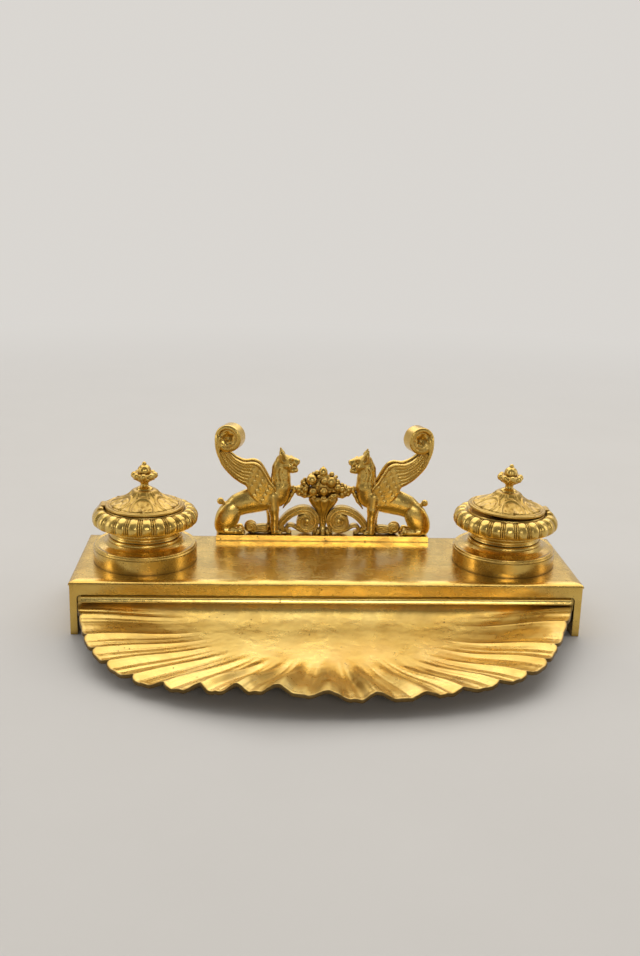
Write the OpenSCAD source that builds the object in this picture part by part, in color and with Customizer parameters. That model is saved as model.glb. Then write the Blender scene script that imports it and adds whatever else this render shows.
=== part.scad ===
// Desk inkstand in gilt bronze: a casing with two lidded inkwells, a scallop shell pen tray in front,
// and at the back a pair of seated winged griffins with a heap of fruit between them.
// Origin: centre of the whole object's box, on the table. +X to the right, +Y to the back, +Z up.

/* [Casing] */
// Width of the casing, left to right
casing_w = 320; // [300:1:360]
// Depth of the casing, front to back
casing_d = 93; // [88:1:120]
// Height of the deck above the table
deck_h = 35.2; // [34:0.1:45]
// Thickness of the deck
deck_t = 4.6; // [4:0.1:5]
// Drop of the rounded edge round the deck
edge_drop = 2.7; // [2:0.1:3]
// Width of the rounded edge round the deck
edge_w = 6; // [4:0.5:9]
// How far the edge stands out over the walls
edge_over = 0.6; // [0:0.1:1]
// Thickness of the side walls, with the edge that stands out over them
wall_t = 5; // [3:0.1:6]
// Thickness of the back wall, with the edge that stands out over it
back_wall_t = 3.4; // [2.5:0.1:3.5]
// Height of the frieze along the front
frieze_h = 6.4; // [6:0.1:8]
// Depth of the rail behind the frieze
rail_d = 14; // [12:0.5:18]
// Radius of the upper corners of the mouth below the frieze
mouth_r = 2.5; // [2:0.5:6]

/* [Shell tray] */
// How far the shell reaches in front of the casing
tray_reach = 110; // [90:1:125]
// Side gap between the shell and each side wall
tray_side_gap = 0.8; // [0.5:0.1:5]
// Height of the tray's floor above the table
tray_floor = 4.8; // [4:0.1:8]
// Thickness of the shell
tray_t = 2.4; // [1.8:0.1:3]
// Radius of the hollow between the floor and the upright back
tray_cove = 14; // [10:0.5:16]
// Rise of the lip above the floor
lip_rise = 6; // [3:0.5:10]
// How much higher the lip stands at the ends, beside the casing
end_rise = 2.5; // [0:0.1:3]
// Height of the ridge between two of the narrow lobes, at the lip
ridge_h = 1.4; // [1:0.1:3]
// How much higher the ridges stand between the wide lobes in the middle
ridge_more = 1.2; // [0:0.1:2]
// Depth of the notch between two narrow lobes, as a share of the reach
notch = 0.016; // [0:0.001:0.03]
// How much deeper the notches are between the wide lobes, as a share of the reach
notch_more = 0.013; // [0:0.001:0.03]
// Height of the double fillet along the top of the back
fillet_h = 5.2; // [3:0.1:6]

/* [Inkwells] */
// Distance of each inkwell's axis from the end of the casing
well_inset = 43; // [40:0.5:50]
// Distance of the inkwells in front of the casing's centre line
well_front = 3.3; // [0:0.1:8]
// Radius of the drum
drum_r = 33.1; // [31:0.1:36]
// Height of the drum up to its shoulder
drum_h = 11.5; // [10:0.1:14]
// Height of the drum's neck bead above the shoulder
bead_h = 5.4; // [4:0.1:7]
// Radius of the bore in the drum
bore_r = 20.6; // [19:0.1:22]
// Side clearance of the collar's spigot in the bore
spigot_gap = 0.5; // [0.4:0.05:0.8]
// Radius at the middle of the gadrooned ring's tube
ring_r = 27.5; // [27:0.1:29]
// Radius of the gadrooned ring's tube
tube_r = 5.9; // [5:0.1:6.2]
// Number of gadroons round the ring
gadroons = 24; // [16:1:36]
// Rise of the upper part, from the seat on the drum to the lid's seat
collar_h = 17.9; // [17:0.1:22]
// Lean of the right collar, which sits a little askew
lean = 0.5; // [0:0.1:1.5]

/* [Lids] */
// Radius of the lid
lid_r = 25.1; // [24:0.1:25.6]
// Thickness of the lid
lid_t = 1.7; // [1.2:0.1:2]
// Height of the lid up to the finial's seat
lid_h = 11.8; // [9:0.1:14]
// Gap between the closed lid and its seat
lid_gap = 0.3; // [0.2:0.05:0.5]
// Angle by which the right lid stands open
ajar = 2.5; // [0:0.5:10]
// Radius of the hinge pin
pin_r = 1; // [0.8:0.1:1.2]
// Running clearance of the pin in its bores
pin_gap = 0.05; // [0.02:0.01:0.1]
// Distance of the hinge pin from the inkwell's axis
hinge_out = 27.3; // [27:0.1:28]
// Radius of the hinge knuckle
knuckle_r = 2.2; // [2:0.1:2.4]
// Width of the lid's knuckle
knuckle_w = 7.2; // [6:0.1:9]
// Thickness of each hinge lug
lug_w = 3.4; // [2.5:0.1:4]
// Height of the finial
finial_h = 17.4; // [15:0.1:20]

/* [Ink pots] */
// Outer radius of the glass pot
pot_r = 16.6; // [15:0.1:17]
// Wall of the glass pot
pot_t = 2; // [1.5:0.1:3]
// Depth of the glass pot
pot_h = 28; // [24:0.5:29]
// Radius of the pot's flange
pot_flange_r = 18.8; // [18:0.1:19]

/* [Figure group] */
// Length of the plinth bar
plinth_w = 146; // [146:1:170]
// Depth of the plinth bar
plinth_d = 12.6; // [12:0.1:16]
// Height of the plinth bar
plinth_h = 4; // [3:0.1:6]
// Distance of the plinth bar from the back of the casing
plinth_back = 0.7; // [0:0.1:2]
// Distance of each plinth stud from the middle
stud_x = 52; // [30:1:60]
// Radius of the plinth studs
stud_r = 2; // [1.5:0.1:2.5]

/* [Screws] */
// Radius of the drum screw
drum_screw_r = 2.5; // [2:0.1:3]
// Radius of the tray screws
tray_screw_r = 1.5; // [1.2:0.1:2]
// Clearance of a screw or stud in its hole
screw_gap = 0.2; // [0.1:0.05:0.3]

/* [Hidden] */
$fn = 64;

bronze = "#c79a3a";
dark_bronze = "#6b5326";
glass = "#c9d8d2";

total_d = casing_d + tray_reach;
casing_y = (total_d - casing_d) / 2;      // centre line of the casing
front_y = casing_y - casing_d / 2;        // front face of the casing
well_x = casing_w / 2 - well_inset;       // distance of each inkwell from the middle
well_y = casing_y - well_front;
mouth_h = deck_h - edge_drop - frieze_h;  // height of the mouth below the frieze
mouth_w = casing_w - 2 * wall_t;
mouth_gap = 0.2;                          // between the tray's upright back and the mouth
tray_back_h = mouth_h - mouth_gap;        // height of the tray's upright back

seat_z = drum_h + bead_h;                 // where the collar sits, above the deck
lid_seat_z = seat_z + collar_h;           // where the lid sits
ring_z = lid_seat_z - 6.2;                // middle of the gadrooned ring
ring_under = 3.6;                         // from there down to the ring's flat underside
hinge_z = lid_seat_z - 0.8;               // hinge axis
pot_flange_t = 2;
pot_top_z = lid_seat_z - 0.4;
drum_floor = 3;
drum_wall = 2.6;

plinth_y = casing_y + casing_d / 2 - plinth_back - plinth_d / 2;

// ---------- curves ----------

// Points along an arc round [cx, cy], from angle a to angle b
function arc(cx, cy, r, a, b, steps = 10) =
    [for (i = [0:steps]) let (t = a + (b - a) * i / steps) [cx + r * cos(t), cy + r * sin(t)]];

// One Catmull-Rom span between p1 and p2, at t from 0 to 1
function span(p0, p1, p2, p3, t) =
    0.5 * (2 * p1 + (p2 - p0) * t + (2 * p0 - 5 * p1 + 4 * p2 - p3) * t * t
        + (3 * p1 - p0 - 3 * p2 + p3) * t * t * t);

// A smooth open curve through the points p
function curve(p, steps = 6) = let (n = len(p))
    [for (i = [0:n - 2], k = [0:steps - (i == n - 2 ? 0 : 1)])
        span(p[max(i - 1, 0)], p[i], p[i + 1], p[min(i + 2, n - 1)], k / steps)];

// A smooth closed curve through the points p
function loop(p, steps = 5) = let (n = len(p))
    [for (i = [0:n - 1], k = [0:steps - 1])
        span(p[(i + n - 1) % n], p[i], p[(i + 1) % n], p[(i + 2) % n], k / steps)];

function unit(v) = v / norm(v);
function side(p, i) = let (n = len(p), d = unit(p[min(i + 1, n - 1)] - p[max(i - 1, 0)])) [-d[1], d[0]];

// A ribbon along the path p that tapers from width w0 to width w1
function ribbon(p, w0, w1) = let (n = len(p)) concat(
    [for (i = [0:n - 1]) p[i] + side(p, i) * (w0 + (w1 - w0) * i / (n - 1)) / 2],
    [for (i = [n - 1:-1:0]) p[i] - side(p, i) * (w0 + (w1 - w0) * i / (n - 1)) / 2]);

function smooth(x) = let (t = min(max(x, 0), 1)) t * t * (3 - 2 * t);

// ---------- placing ----------

// An upright plate with its outline in X and Z, centred on y
module plate(thick, y = 0) {
    translate([0, y + thick / 2, 0]) rotate([90, 0, 0]) linear_extrude(thick) children();
}

module on_deck(x, y) {
    translate([x, y, deck_h]) children();
}

module at_well(side) {
    on_deck(side * well_x, well_y) children();
}

// The upper part of the right inkwell leans about the outer edge of its seat
module seated(side) {
    at_well(side)
        if (side > 0) translate([bore_r, 0, seat_z]) rotate([0, lean, 0]) translate([-bore_r, 0, -seat_z])
            children();
        else children();
}

// A lid turns about its hinge pin; side is -1 on the left and 1 on the right
module hinged(side) {
    seated(side)
        if (side > 0) translate([hinge_out, 0, hinge_z]) rotate([0, ajar, 0])
            translate([-hinge_out, 0, -hinge_z]) children();
        else mirror([1, 0, 0]) children();
}

// A round or hexagonal nut whose bore takes a stud of radius r
module nut(r, across, thick) {
    difference() {
        cylinder(r = across / 2, h = thick, $fn = 6);
        translate([0, 0, -1]) cylinder(r = r, h = thick + 2);
    }
}

// A pan-head screw that points up, with its head's seat at z = 0
module screw_up(r, length, head_r, head_h) {
    cylinder(r = r, h = length);
    translate([0, 0, -head_h]) difference() {
        cylinder(r = head_r, h = head_h);
        translate([-head_r, -0.4, -1]) cube([2 * head_r, 0.8, 1.7]);
    }
}

// ---------- casing ----------

// Section of the casing across a width w: below the rounded edge of the deck run a groove and a thin
// fillet, which stands out over the walls
module casing_section(w) {
    rise = deck_h - edge_drop;
    lip = 0.8;                            // height of the fillet
    groove = 0.35;                        // depth and height of the groove
    right = concat(
        [[w / 2 - edge_over, 0], [w / 2 - edge_over, rise], [w / 2, rise], [w / 2, rise + lip],
         [w / 2 - groove, rise + lip], [w / 2 - groove, rise + lip + groove]],
        [for (a = [0:15:90]) [w / 2 - edge_w + (edge_w - groove / 2) * cos(a),
            rise + lip + groove + (edge_drop - lip - groove) * sin(a)]]);
    left = [for (i = [len(right) - 1:-1:0]) [-right[i][0], right[i][1]]];
    polygon(concat(right, left));
}

// Outline of the mouth below the frieze, less a gap all round
module mouth_outline(gap) {
    w = mouth_w / 2 - gap;
    h = mouth_h - gap;
    polygon(concat([[-w, 0], [w, 0]], arc(w - mouth_r, h - mouth_r, mouth_r, 0, 90, 8),
        arc(-w + mouth_r, h - mouth_r, mouth_r, 90, 180, 8)));
}

tray_screw_x = [for (i = [-1.5:1:1.5]) i * casing_w / 4.4];
tray_screw_y = front_y + rail_d * 0.6;
tray_flange_t = 2.4;
tray_screw_l = 6;
tray_head_r = 2.8;
tray_head_h = 1.8;

module casing() {
    color(bronze) difference() {
        translate([0, casing_y, 0]) intersection() {
            plate(casing_d) casing_section(casing_w);
            rotate([90, 0, 90]) translate([0, 0, -casing_w / 2]) linear_extrude(casing_w)
                casing_section(casing_d);
        }
        // hollow under the deck, behind the rail
        translate([-mouth_w / 2, front_y + rail_d, -1])
            cube([mouth_w, casing_d - rail_d - back_wall_t, deck_h - deck_t + 1]);
        // mouth below the frieze
        translate([0, front_y + rail_d / 2, 0]) plate(rail_d + 2) union() {
            mouth_outline(0);
            translate([-mouth_w / 2, -1]) square([mouth_w, mouth_h / 2]);
        }
        for (side = [-1, 1]) {
            translate([side * well_x, well_y, 0])
                cylinder(r = drum_screw_r + screw_gap, h = deck_h + 1);
            translate([side * stud_x, plinth_y, 0]) cylinder(r = stud_r + screw_gap, h = deck_h + 1);
        }
        for (x = tray_screw_x)
            translate([x, tray_screw_y, 0]) cylinder(r = tray_screw_r + screw_gap, h = mouth_h + 5, $fn = 32);
    }
}

// ---------- shell tray ----------

wall_y = front_y + 1;                     // front face of the tray's upright back
shell_half_w = mouth_w / 2 - tray_side_gap;
shell_reach = tray_reach + 1;
shell_power = 2.2;                        // 2 is an ellipse, more is squarer
ray_steps = [0.02, 0.045, 0.075, 0.105, 0.14, 0.32, 0.5, 0.6, 0.7, 0.79, 0.87, 0.94, 1];

// Where the ridges between the lobes reach the lip, from left to right, as shares of the half width
ridge_share = [-0.991, -0.914, -0.85, -0.746, -0.629, -0.493, -0.363, -0.22, -0.039,
    0.13, 0.305, 0.441, 0.584, 0.707, 0.824, 0.914, 0.985];
lobes = len(ridge_share) + 1;
widest = 8.8;                             // the lobe in the middle, counted from the left, and how far
widest_spread = 4.2;                      // the wide lobes spread to each side of it
cusps = concat([0], [for (x = ridge_share) acos(-sign(x) * pow(abs(x), shell_power / 2))], [180]);
lobe_steps = [0, 0.15, 0.38, 0.62, 0.85]; // facets across one lobe
turn_steps = concat([0, 0.12, 0.5, 1.1],
    [for (i = [0:lobes - 1], u = lobe_steps) if (i + u > 0) cusps[i] + u * (cusps[i + 1] - cusps[i])],
    [178.9, 179.5, 179.88, 180]);

// Number of the lobe at a turn of 0 (left end) to 180 degrees (right end), with the share across it
function lobe_at(turn) = lookup(turn, [for (i = [0:lobes]) [cusps[i], i]]);
// 1 on the ridge beside a lobe, 0 in its middle
function beside(n) = abs(2 * (n - floor(min(n, lobes - 0.001))) - 1);
function wide(n) = exp(-pow((n - widest) / widest_spread, 2));

// Point of the plain lip at a turn, seen from above
function lip_point(turn) = let (k = 2 / shell_power)
    [-sign(cos(turn)) * pow(abs(cos(turn)), k) * shell_half_w, -pow(max(sin(turn), 0), k) * shell_reach];

// Point of the shell at a share s of the way to the lip, which is notched at the ridges
function shell_flat(turn, s) = let (n = lobe_at(turn),
        inward = (notch + notch_more * wide(n)) * pow(beside(n), 7) * smooth((s - 0.35) / 0.6))
    lip_point(turn) * s * (1 - inward);

// Height of the shell's upper face there, at a distance d in front of the back
function shell_z(turn, s, d) = let (
        n = lobe_at(turn),
        cove = d < tray_cove ? tray_cove - sqrt(tray_cove * tray_cove - pow(tray_cove - d, 2)) : 0,
        crest = exp(-pow((beside(n) - 1) / 0.24, 2)),
        flute = smooth((s - 0.5 + 0.06 * wide(n)) / 0.42),
        rise = lip_rise + end_rise * (1 - smooth(d / 50)))
    tray_floor + cove + smooth((d + 4) / 12) * (rise * pow(smooth((s - 0.5) / 0.5), 1.3)
        + (ridge_h + ridge_more * wide(n)) * crest * flute);

function shell_point(turn, s, down) = let (p = shell_flat(turn, s))
    [p[0], wall_y + p[1], shell_z(turn, s, -p[1]) - down];

// The fluted basin: an upper and a lower face, a rim and a back edge
module shell_basin() {
    turns = len(turn_steps);
    rays = len(ray_steps);
    sheet = turns * rays;
    hub = 2 * sheet;
    face = function (down) [for (t = turn_steps, s = ray_steps) shell_point(t, s, down)];
    points = concat(face(0), face(tray_t),
        [[0, wall_y, tray_floor + tray_cove], [0, wall_y, tray_floor + tray_cove - tray_t]]);
    id = function (i, j, low) i * rays + j + low * sheet;
    quad = function (a, b, c, d) [[a, b, c], [a, c, d]];
    faces = concat(
        [for (i = [0:turns - 2], j = [0:rays - 2], f =
            quad(id(i, j, 0), id(i, j + 1, 0), id(i + 1, j + 1, 0), id(i + 1, j, 0))) f],
        [for (i = [0:turns - 2], j = [0:rays - 2], f =
            quad(id(i, j, 1), id(i + 1, j, 1), id(i + 1, j + 1, 1), id(i, j + 1, 1))) f],
        [for (i = [0:turns - 2], f =
            quad(id(i, rays - 1, 0), id(i, rays - 1, 1), id(i + 1, rays - 1, 1), id(i + 1, rays - 1, 0))) f],
        [for (i = [0:turns - 2]) [hub, id(i, 0, 0), id(i + 1, 0, 0)]],
        [for (i = [0:turns - 2]) [hub + 1, id(i + 1, 0, 1), id(i, 0, 1)]],
        [for (i = [0, turns - 1], j = [0:rays - 2], f = i == 0
            ? quad(id(i, j, 0), id(i, j, 1), id(i, j + 1, 1), id(i, j + 1, 0))
            : quad(id(i, j, 0), id(i, j + 1, 0), id(i, j + 1, 1), id(i, j, 1))) f],
        quad(hub, hub + 1, id(0, 0, 1), id(0, 0, 0)),
        quad(hub, id(turns - 1, 0, 0), id(turns - 1, 0, 1), hub + 1));
    polyhedron(points, [for (f = faces) [f[2], f[1], f[0]]]);
}

// Section of the double fillet along the top of the upright back; it projects forward
module fillet_section() {
    r = fillet_h / 4;
    polygon(concat([[1, 0], [1, fillet_h]], arc(-0.3, 3 * r, r, 90, 270, 6), arc(-0.3, r, r, 90, 270, 6)));
}

module shell_tray() {
    back_w = mouth_w - 2 * 0.3;
    top = tray_back_h;
    color(bronze) difference() {
        union() {
            shell_basin();
            // upright back, which closes the mouth
            translate([0, wall_y + tray_t / 2, 0]) plate(tray_t) intersection() {
                mouth_outline(mouth_gap);
                translate([-back_w / 2, tray_floor + tray_cove - tray_t - 1]) square([back_w, top]);
            }
            // double fillet along its top
            translate([-back_w / 2 + mouth_r, wall_y, top - fillet_h]) rotate([90, 0, 90])
                linear_extrude(back_w - 2 * mouth_r) fillet_section();
            // flange that lies under the rail
            translate([-back_w / 2 + mouth_r, wall_y, top - tray_flange_t])
                cube([back_w - 2 * mouth_r, rail_d - 2, tray_flange_t]);
        }
        for (x = tray_screw_x) translate([x, tray_screw_y, 0])
            cylinder(r = tray_screw_r + screw_gap, h = deck_h, $fn = 32);
    }
}

module tray_screws() {
    color(dark_bronze) for (x = tray_screw_x) translate([x, tray_screw_y, tray_back_h - tray_flange_t])
        screw_up(tray_screw_r, tray_screw_l, tray_head_r, tray_head_h, $fn = 32);
}

// ---------- inkwells ----------

// The drum: plain wall, two small fillets, hollow shoulder and a bead round the bore
module drum_shape() {
    rim = drum_h;
    wave = 0.65;                          // radius of each small fillet
    outside = concat(
        [[0, 0], [drum_r, 0], [drum_r, rim - 4 * wave]],
        arc(drum_r - wave, rim - 3 * wave, wave, -60, 90, 6),
        arc(drum_r - 2 * wave, rim - wave, wave, -30, 90, 6),
        curve([[drum_r - 3.2, rim - 0.2], [28.5, rim + 0.1], [25.8, rim + 0.8], [24.2, rim + 2.2]], 4),
        arc(bore_r + 1.9, rim + bead_h - 1.6, 1.6, -40, 90, 8));
    inside = [[bore_r, seat_z], [bore_r, drum_h - 1], [drum_r - 7, drum_h - 2.4],
        [drum_r - drum_wall, drum_h - 5], [drum_r - drum_wall, drum_floor], [0, drum_floor]];
    difference() {
        rotate_extrude() polygon(concat(outside, inside));
        translate([0, 0, -1]) cylinder(r = drum_screw_r + screw_gap / 4, h = drum_floor + 2);
    }
}

drum_head_r = 5;
drum_head_h = 2.6;

module drum_left() {
    color(bronze) at_well(-1) drum_shape();
}

module drum_right() {
    color(bronze) at_well(1) drum_shape();
}

module drum_screws() {
    color(dark_bronze) for (side = [-1, 1])
        translate([side * well_x, well_y, deck_h - deck_t])
            screw_up(drum_screw_r, deck_t + drum_floor, drum_head_r, drum_head_h);
}

// Section of the lift-out collar: spigot, neck, fillet, ring and the lid's seat
module collar_section() {
    spigot_r = bore_r - spigot_gap;
    foot_z = seat_z + 0.2;
    pot_bore = pot_r + 0.4;
    flange_bore = pot_flange_r + 0.2;
    outside = concat(
        [[pot_bore, seat_z - 4], [spigot_r, seat_z - 4], [spigot_r, foot_z], [22.6, foot_z]],
        curve([[22.4, foot_z + 0.4], [21.6, foot_z + 2], [22.6, foot_z + 3.6]], 4),
        arc(24.4, foot_z + 4.8, 0.9, -90, 90, 6),
        [[24.4, ring_z], [25.2, lid_seat_z - 1.2], [24.6, lid_seat_z]]);
    inside = [[flange_bore, lid_seat_z], [flange_bore, pot_top_z - pot_flange_t],
        [pot_bore, pot_top_z - pot_flange_t]];
    polygon(concat(outside, inside));
}

// The grooves run round the outer side of the ring, between these angles above the level
groove_low = -50;
groove_high = 95;

module collar_shape() {
    knuckle_room = knuckle_w / 2 + 0.4;
    lug_far = knuckle_room + lug_w;
    difference() {
        union() {
            difference() {
                union() {
                    rotate_extrude() collar_section();
                    translate([0, 0, ring_z]) rotate_extrude() translate([ring_r, 0]) difference() {
                        circle(r = tube_r);
                        translate([-tube_r, -tube_r - ring_under]) square([2 * tube_r, tube_r]);
                    }
                }
                // two grooves between neighbouring gadroons leave a thin fillet
                for (i = [0:gadroons - 1], twin = [-1, 1])
                    rotate([0, 0, 360 * (i + 0.5) / gadroons + twin * 1.7])
                        translate([ring_r, 0, ring_z]) rotate([90, -groove_low, 0])
                            rotate_extrude(angle = groove_high - groove_low, $fn = 40)
                                translate([tube_r + 0.15, 0]) circle(r = 0.6, $fn = 16);
            }
            // hinge lugs at the outer side
            for (s = [-1, 1]) translate([hinge_out, s * (knuckle_room + lug_far) / 2, 0]) {
                translate([0, 0, hinge_z]) rotate([90, 0, 0])
                    cylinder(r = knuckle_r + 0.1, h = lug_w, center = true);
                translate([-knuckle_r - 0.1, -lug_w / 2, ring_z])
                    cube([2 * knuckle_r + 0.2, lug_w, hinge_z - ring_z]);
            }
        }
        // room for the lid's knuckle
        translate([hinge_out - 4.6, -knuckle_room, hinge_z - knuckle_r - 0.5])
            cube([12, 2 * knuckle_room, 10]);
        translate([hinge_out, 0, hinge_z]) rotate([90, 0, 0])
            cylinder(r = pin_r + pin_gap, h = 3 * lug_far, center = true, $fn = 32);
    }
}

module collar_left() {
    color(bronze) seated(-1) mirror([1, 0, 0]) collar_shape();
}

module collar_right() {
    color(bronze) seated(1) collar_shape();
}

module ink_pot_shape() {
    low = pot_top_z - pot_h;
    r_in = pot_r - pot_t;
    rotate_extrude() polygon(concat(
        [[0, low], [pot_r - 3, low]], arc(pot_r - 3, low + 3, 3, -90, 0, 6),
        [[pot_r, pot_top_z - pot_flange_t], [pot_flange_r, pot_top_z - pot_flange_t],
         [pot_flange_r, pot_top_z], [r_in, pot_top_z]],
        arc(r_in - 3, low + pot_t + 3, 3, 0, -90, 6), [[0, low + pot_t]]));
}

module ink_pot_left() {
    color(glass) seated(-1) ink_pot_shape();
}

module ink_pot_right() {
    color(glass) seated(1) ink_pot_shape();
}

module hinge_pin_shape() {
    length = knuckle_w + 0.8 + 2 * lug_w + 0.8;
    translate([hinge_out, 0, hinge_z]) rotate([90, 0, 0])
        cylinder(r = pin_r, h = length, center = true, $fn = 32);
}

module hinge_pin_left() {
    color(dark_bronze) seated(-1) mirror([1, 0, 0]) hinge_pin_shape();
}

module hinge_pin_right() {
    color(dark_bronze) seated(1) hinge_pin_shape();
}

// ---------- lids and finials ----------

finial_z = lid_seat_z + lid_gap + lid_h;
finial_stud_r = 1.5;

// Upper face of the lid from the rim to the finial's seat
function lid_face(down) = curve([
    [lid_r - 1.6, 1.7], [lid_r * 0.84, 2.7], [lid_r * 0.68, 4.4], [lid_r * 0.5, 6.6],
    [lid_r * 0.38, 8.8], [lid_r * 0.3, lid_h - 0.5], [lid_r * 0.24, lid_h]], 4)
    - [for (i = [0:24]) [0, down]];

module lid_shape() {
    base = lid_seat_z + lid_gap;
    arm = hinge_out - lid_r + 3;
    knuckle_half = knuckle_w / 2;
    inside_face = lid_face(lid_t);
    difference() {
        union() {
            translate([0, 0, base]) rotate_extrude() polygon(concat(
                arc(lid_r - 1, 1, 1, -90, 90, 8), lid_face(0), [[0, lid_h], [0, lid_h - lid_t]],
                [for (i = [len(inside_face) - 1:-1:0]) inside_face[i] - [0.4, 0]], [[lid_r - 3, 0]]));
            translate([hinge_out, 0, hinge_z]) rotate([90, 0, 0])
                cylinder(r = knuckle_r, h = knuckle_w, center = true);
            translate([hinge_out - arm, -knuckle_half, base + 0.1]) cube([arm, knuckle_w, 1.5]);
        }
        translate([0, 0, base + lid_h - 4]) cylinder(r = finial_stud_r + screw_gap, h = 8, $fn = 32);
        translate([hinge_out, 0, hinge_z]) rotate([90, 0, 0])
            cylinder(r = pin_r + pin_gap, h = 2 * knuckle_w, center = true, $fn = 32);
    }
}

module lid_left() {
    color(bronze) hinged(-1) lid_shape();
}

module lid_right() {
    color(bronze) hinged(1) lid_shape();
}

// A flower bud: foot, stem, cup with a ring of petals, bud and tip
module finial_shape() {
    k = finial_h / 17.4;
    petals = 8;
    translate([0, 0, finial_z]) scale(k) {
        rotate_extrude() polygon(concat(
            [[0, -4.4], [finial_stud_r / k, -4.4], [finial_stud_r / k, 0], [5.4, 0]],
            curve([[5.4, 0.7], [4, 1.3], [2.6, 2.2], [2.3, 3.4], [3, 4.6], [4.2, 5.6], [6.6, 7.6], [8, 9.4],
                [7.4, 10.6], [4.6, 10.6]], 3),
            curve([[4.5, 11.2], [4.6, 12.2], [3.8, 14], [2, 15.4], [1, 15.9]], 3),
            arc(0, 16.3, 1.1, -20, 90, 5)));
        for (i = [0:petals - 1]) rotate([0, 0, 360 * i / petals]) translate([7.1, 0, 9.6])
            sphere(r = 1.75, $fn = 24);
    }
}

module finial_left() {
    color(bronze) hinged(-1) finial_shape();
}

module finial_right() {
    color(bronze) hinged(1) finial_shape();
}

module finial_nut_shape() {
    translate([0, 0, finial_z - lid_t - 2]) nut(finial_stud_r + 0.05, 6.4, 2);
}

module finial_nut_left() {
    color(dark_bronze) hinged(-1) finial_nut_shape();
}

module finial_nut_right() {
    color(dark_bronze) hinged(1) finial_nut_shape();
}

// ---------- plinth of the figure group ----------

nut_t = 3;

module griffin_plinth() {
    color(bronze) on_deck(0, plinth_y) {
        plate(plinth_d) polygon([[-plinth_w / 2, 0], [plinth_w / 2, 0],
            [plinth_w / 2, plinth_h - 0.6], [plinth_w / 2 - 0.6, plinth_h],
            [-plinth_w / 2 + 0.6, plinth_h], [-plinth_w / 2, plinth_h - 0.6]]);
        for (side = [-1, 1]) translate([side * stud_x, 0, -deck_t - nut_t - 2])
            cylinder(r = stud_r, h = deck_t + nut_t + 3);
    }
}

module plinth_nuts() {
    color(dark_bronze) for (side = [-1, 1])
        translate([side * stud_x, plinth_y, deck_h - deck_t - nut_t]) nut(stud_r + 0.05, 8, nut_t);
}

// ---------- griffins ----------
// Drawn for the left griffin, which faces right: X from the middle of the group, Y from the middle of
// the plinth (minus is to the front), Z above the plinth. Each joint of a limb is [x, y, z, radius].

limb_fn = 12;
torso = [[-31, 0, 28.6, 6.4], [-38, 0, 25.6, 6.6], [-48, 0, 23.4, 6.6], [-57, 0, 19.4, 6.4],
    [-62, 0, 15, 5.6]];
neck = [[-29.4, 0, 33, 6.2], [-29.3, 0, 40, 5.6], [-29.4, 0, 46, 5], [-28, 0, 51, 4.5]];
skull = [[-26.2, 0, 50.8, 4.2], [-20.6, 0, 50.9, 2.7], [-18.7, 0, 50.6, 2.2]];
jaw = [[-25.6, 0, 46.8, 2.6], [-21.4, 0, 44.7, 1.8], [-19, 0, 44.5, 1.4]];
ear = [[-28.4, 2.6, 53.4, 1.9], [-29.8, 3, 60.4, 0.6]];
foreleg = [[-34.2, 3.6, 25, 3.1], [-33.8, 4.1, 14, 2.5], [-33.4, 4.3, 2.4, 2.4], [-30, 4.3, 1.6, 1.8]];
hind_foot = [[-67, 4, 2.6, 2.6], [-57, 4.2, 2.3, 2.3], [-55.2, 4.2, 1.5, 1.7]];
tail = [[-65.5, 0, 19.4, 1.7], [-68.4, 0, 21.3, 1.4], [-70.2, 0, 22.4, 2.2]];
thigh_centre = [-65, 10.8];               // the thigh is an upright oval
thigh_half = [5.1, 9];
thigh_y = 3.2;
thigh_r = 3.2;
wing_root_y = 5.2;                        // middle of each wing, at the shoulder
wing_t = 3;
wing_outline = [[-36, 41], [-37.8, 45.6], [-41.5, 50], [-46, 52.3], [-53, 52.3], [-58.4, 54.4], [-62.6, 58.6],
    [-66, 62], [-71.6, 64.6], [-72.6, 58.4], [-68.8, 50], [-62.6, 43], [-55, 37.4], [-51.4, 32.6],
    [-47.6, 26], [-41, 22.4], [-35.6, 25], [-34, 33]];
curl_centre = [-63.8, 67.6];
curl_r = 9.2;
curl_w = 11;
curl_y = -0.6;
curl_turn = -14;                          // the curl's front end is turned outward

// A limb through balls, each joined to the next
module limb(joints, side = 1) {
    for (i = [0:len(joints) - 2]) hull() for (j = [joints[i], joints[i + 1]])
        translate([j[0], side * j[1], j[2]]) sphere(r = j[3], $fn = limb_fn);
}

module griffin_shape() {
    difference() {
        union() {
            limb(torso);
            limb(neck);
            limb(skull);
            limb(jaw);
            limb(tail);
            for (s = [-1, 1]) {
                limb(foreleg, s);
                limb(hind_foot, s);
                limb(ear, s);
                hull() for (a = [0:60:300])
                    translate([thigh_centre[0] + thigh_half[0] * cos(a), s * thigh_y,
                        thigh_centre[1] + thigh_half[1] * sin(a)]) sphere(r = thigh_r, $fn = limb_fn);
                plate(wing_t, s * (wing_root_y - wing_t / 2)) polygon(loop(wing_outline, 3));
            }
            // the two wing tips roll up together into one curl
            translate([curl_centre[0], curl_y, curl_centre[1]]) rotate([90, 0, curl_turn]) {
                cylinder(r = curl_r, h = curl_w, center = true, $fn = 40);
                cylinder(r = curl_r * 0.6, h = curl_w + 1.6, center = true, $fn = 32);
            }
        }
        translate([-100, -30, -20]) cube([200, 60, 20]);
    }
}

module on_plinth() {
    on_deck(0, plinth_y) translate([0, 0, plinth_h]) children();
}

module griffin_left() {
    color(bronze) on_plinth() griffin_shape();
}

module griffin_right() {
    color(bronze) on_plinth() mirror([1, 0, 0]) griffin_shape();
}

// ---------- scrolls ----------

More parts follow.
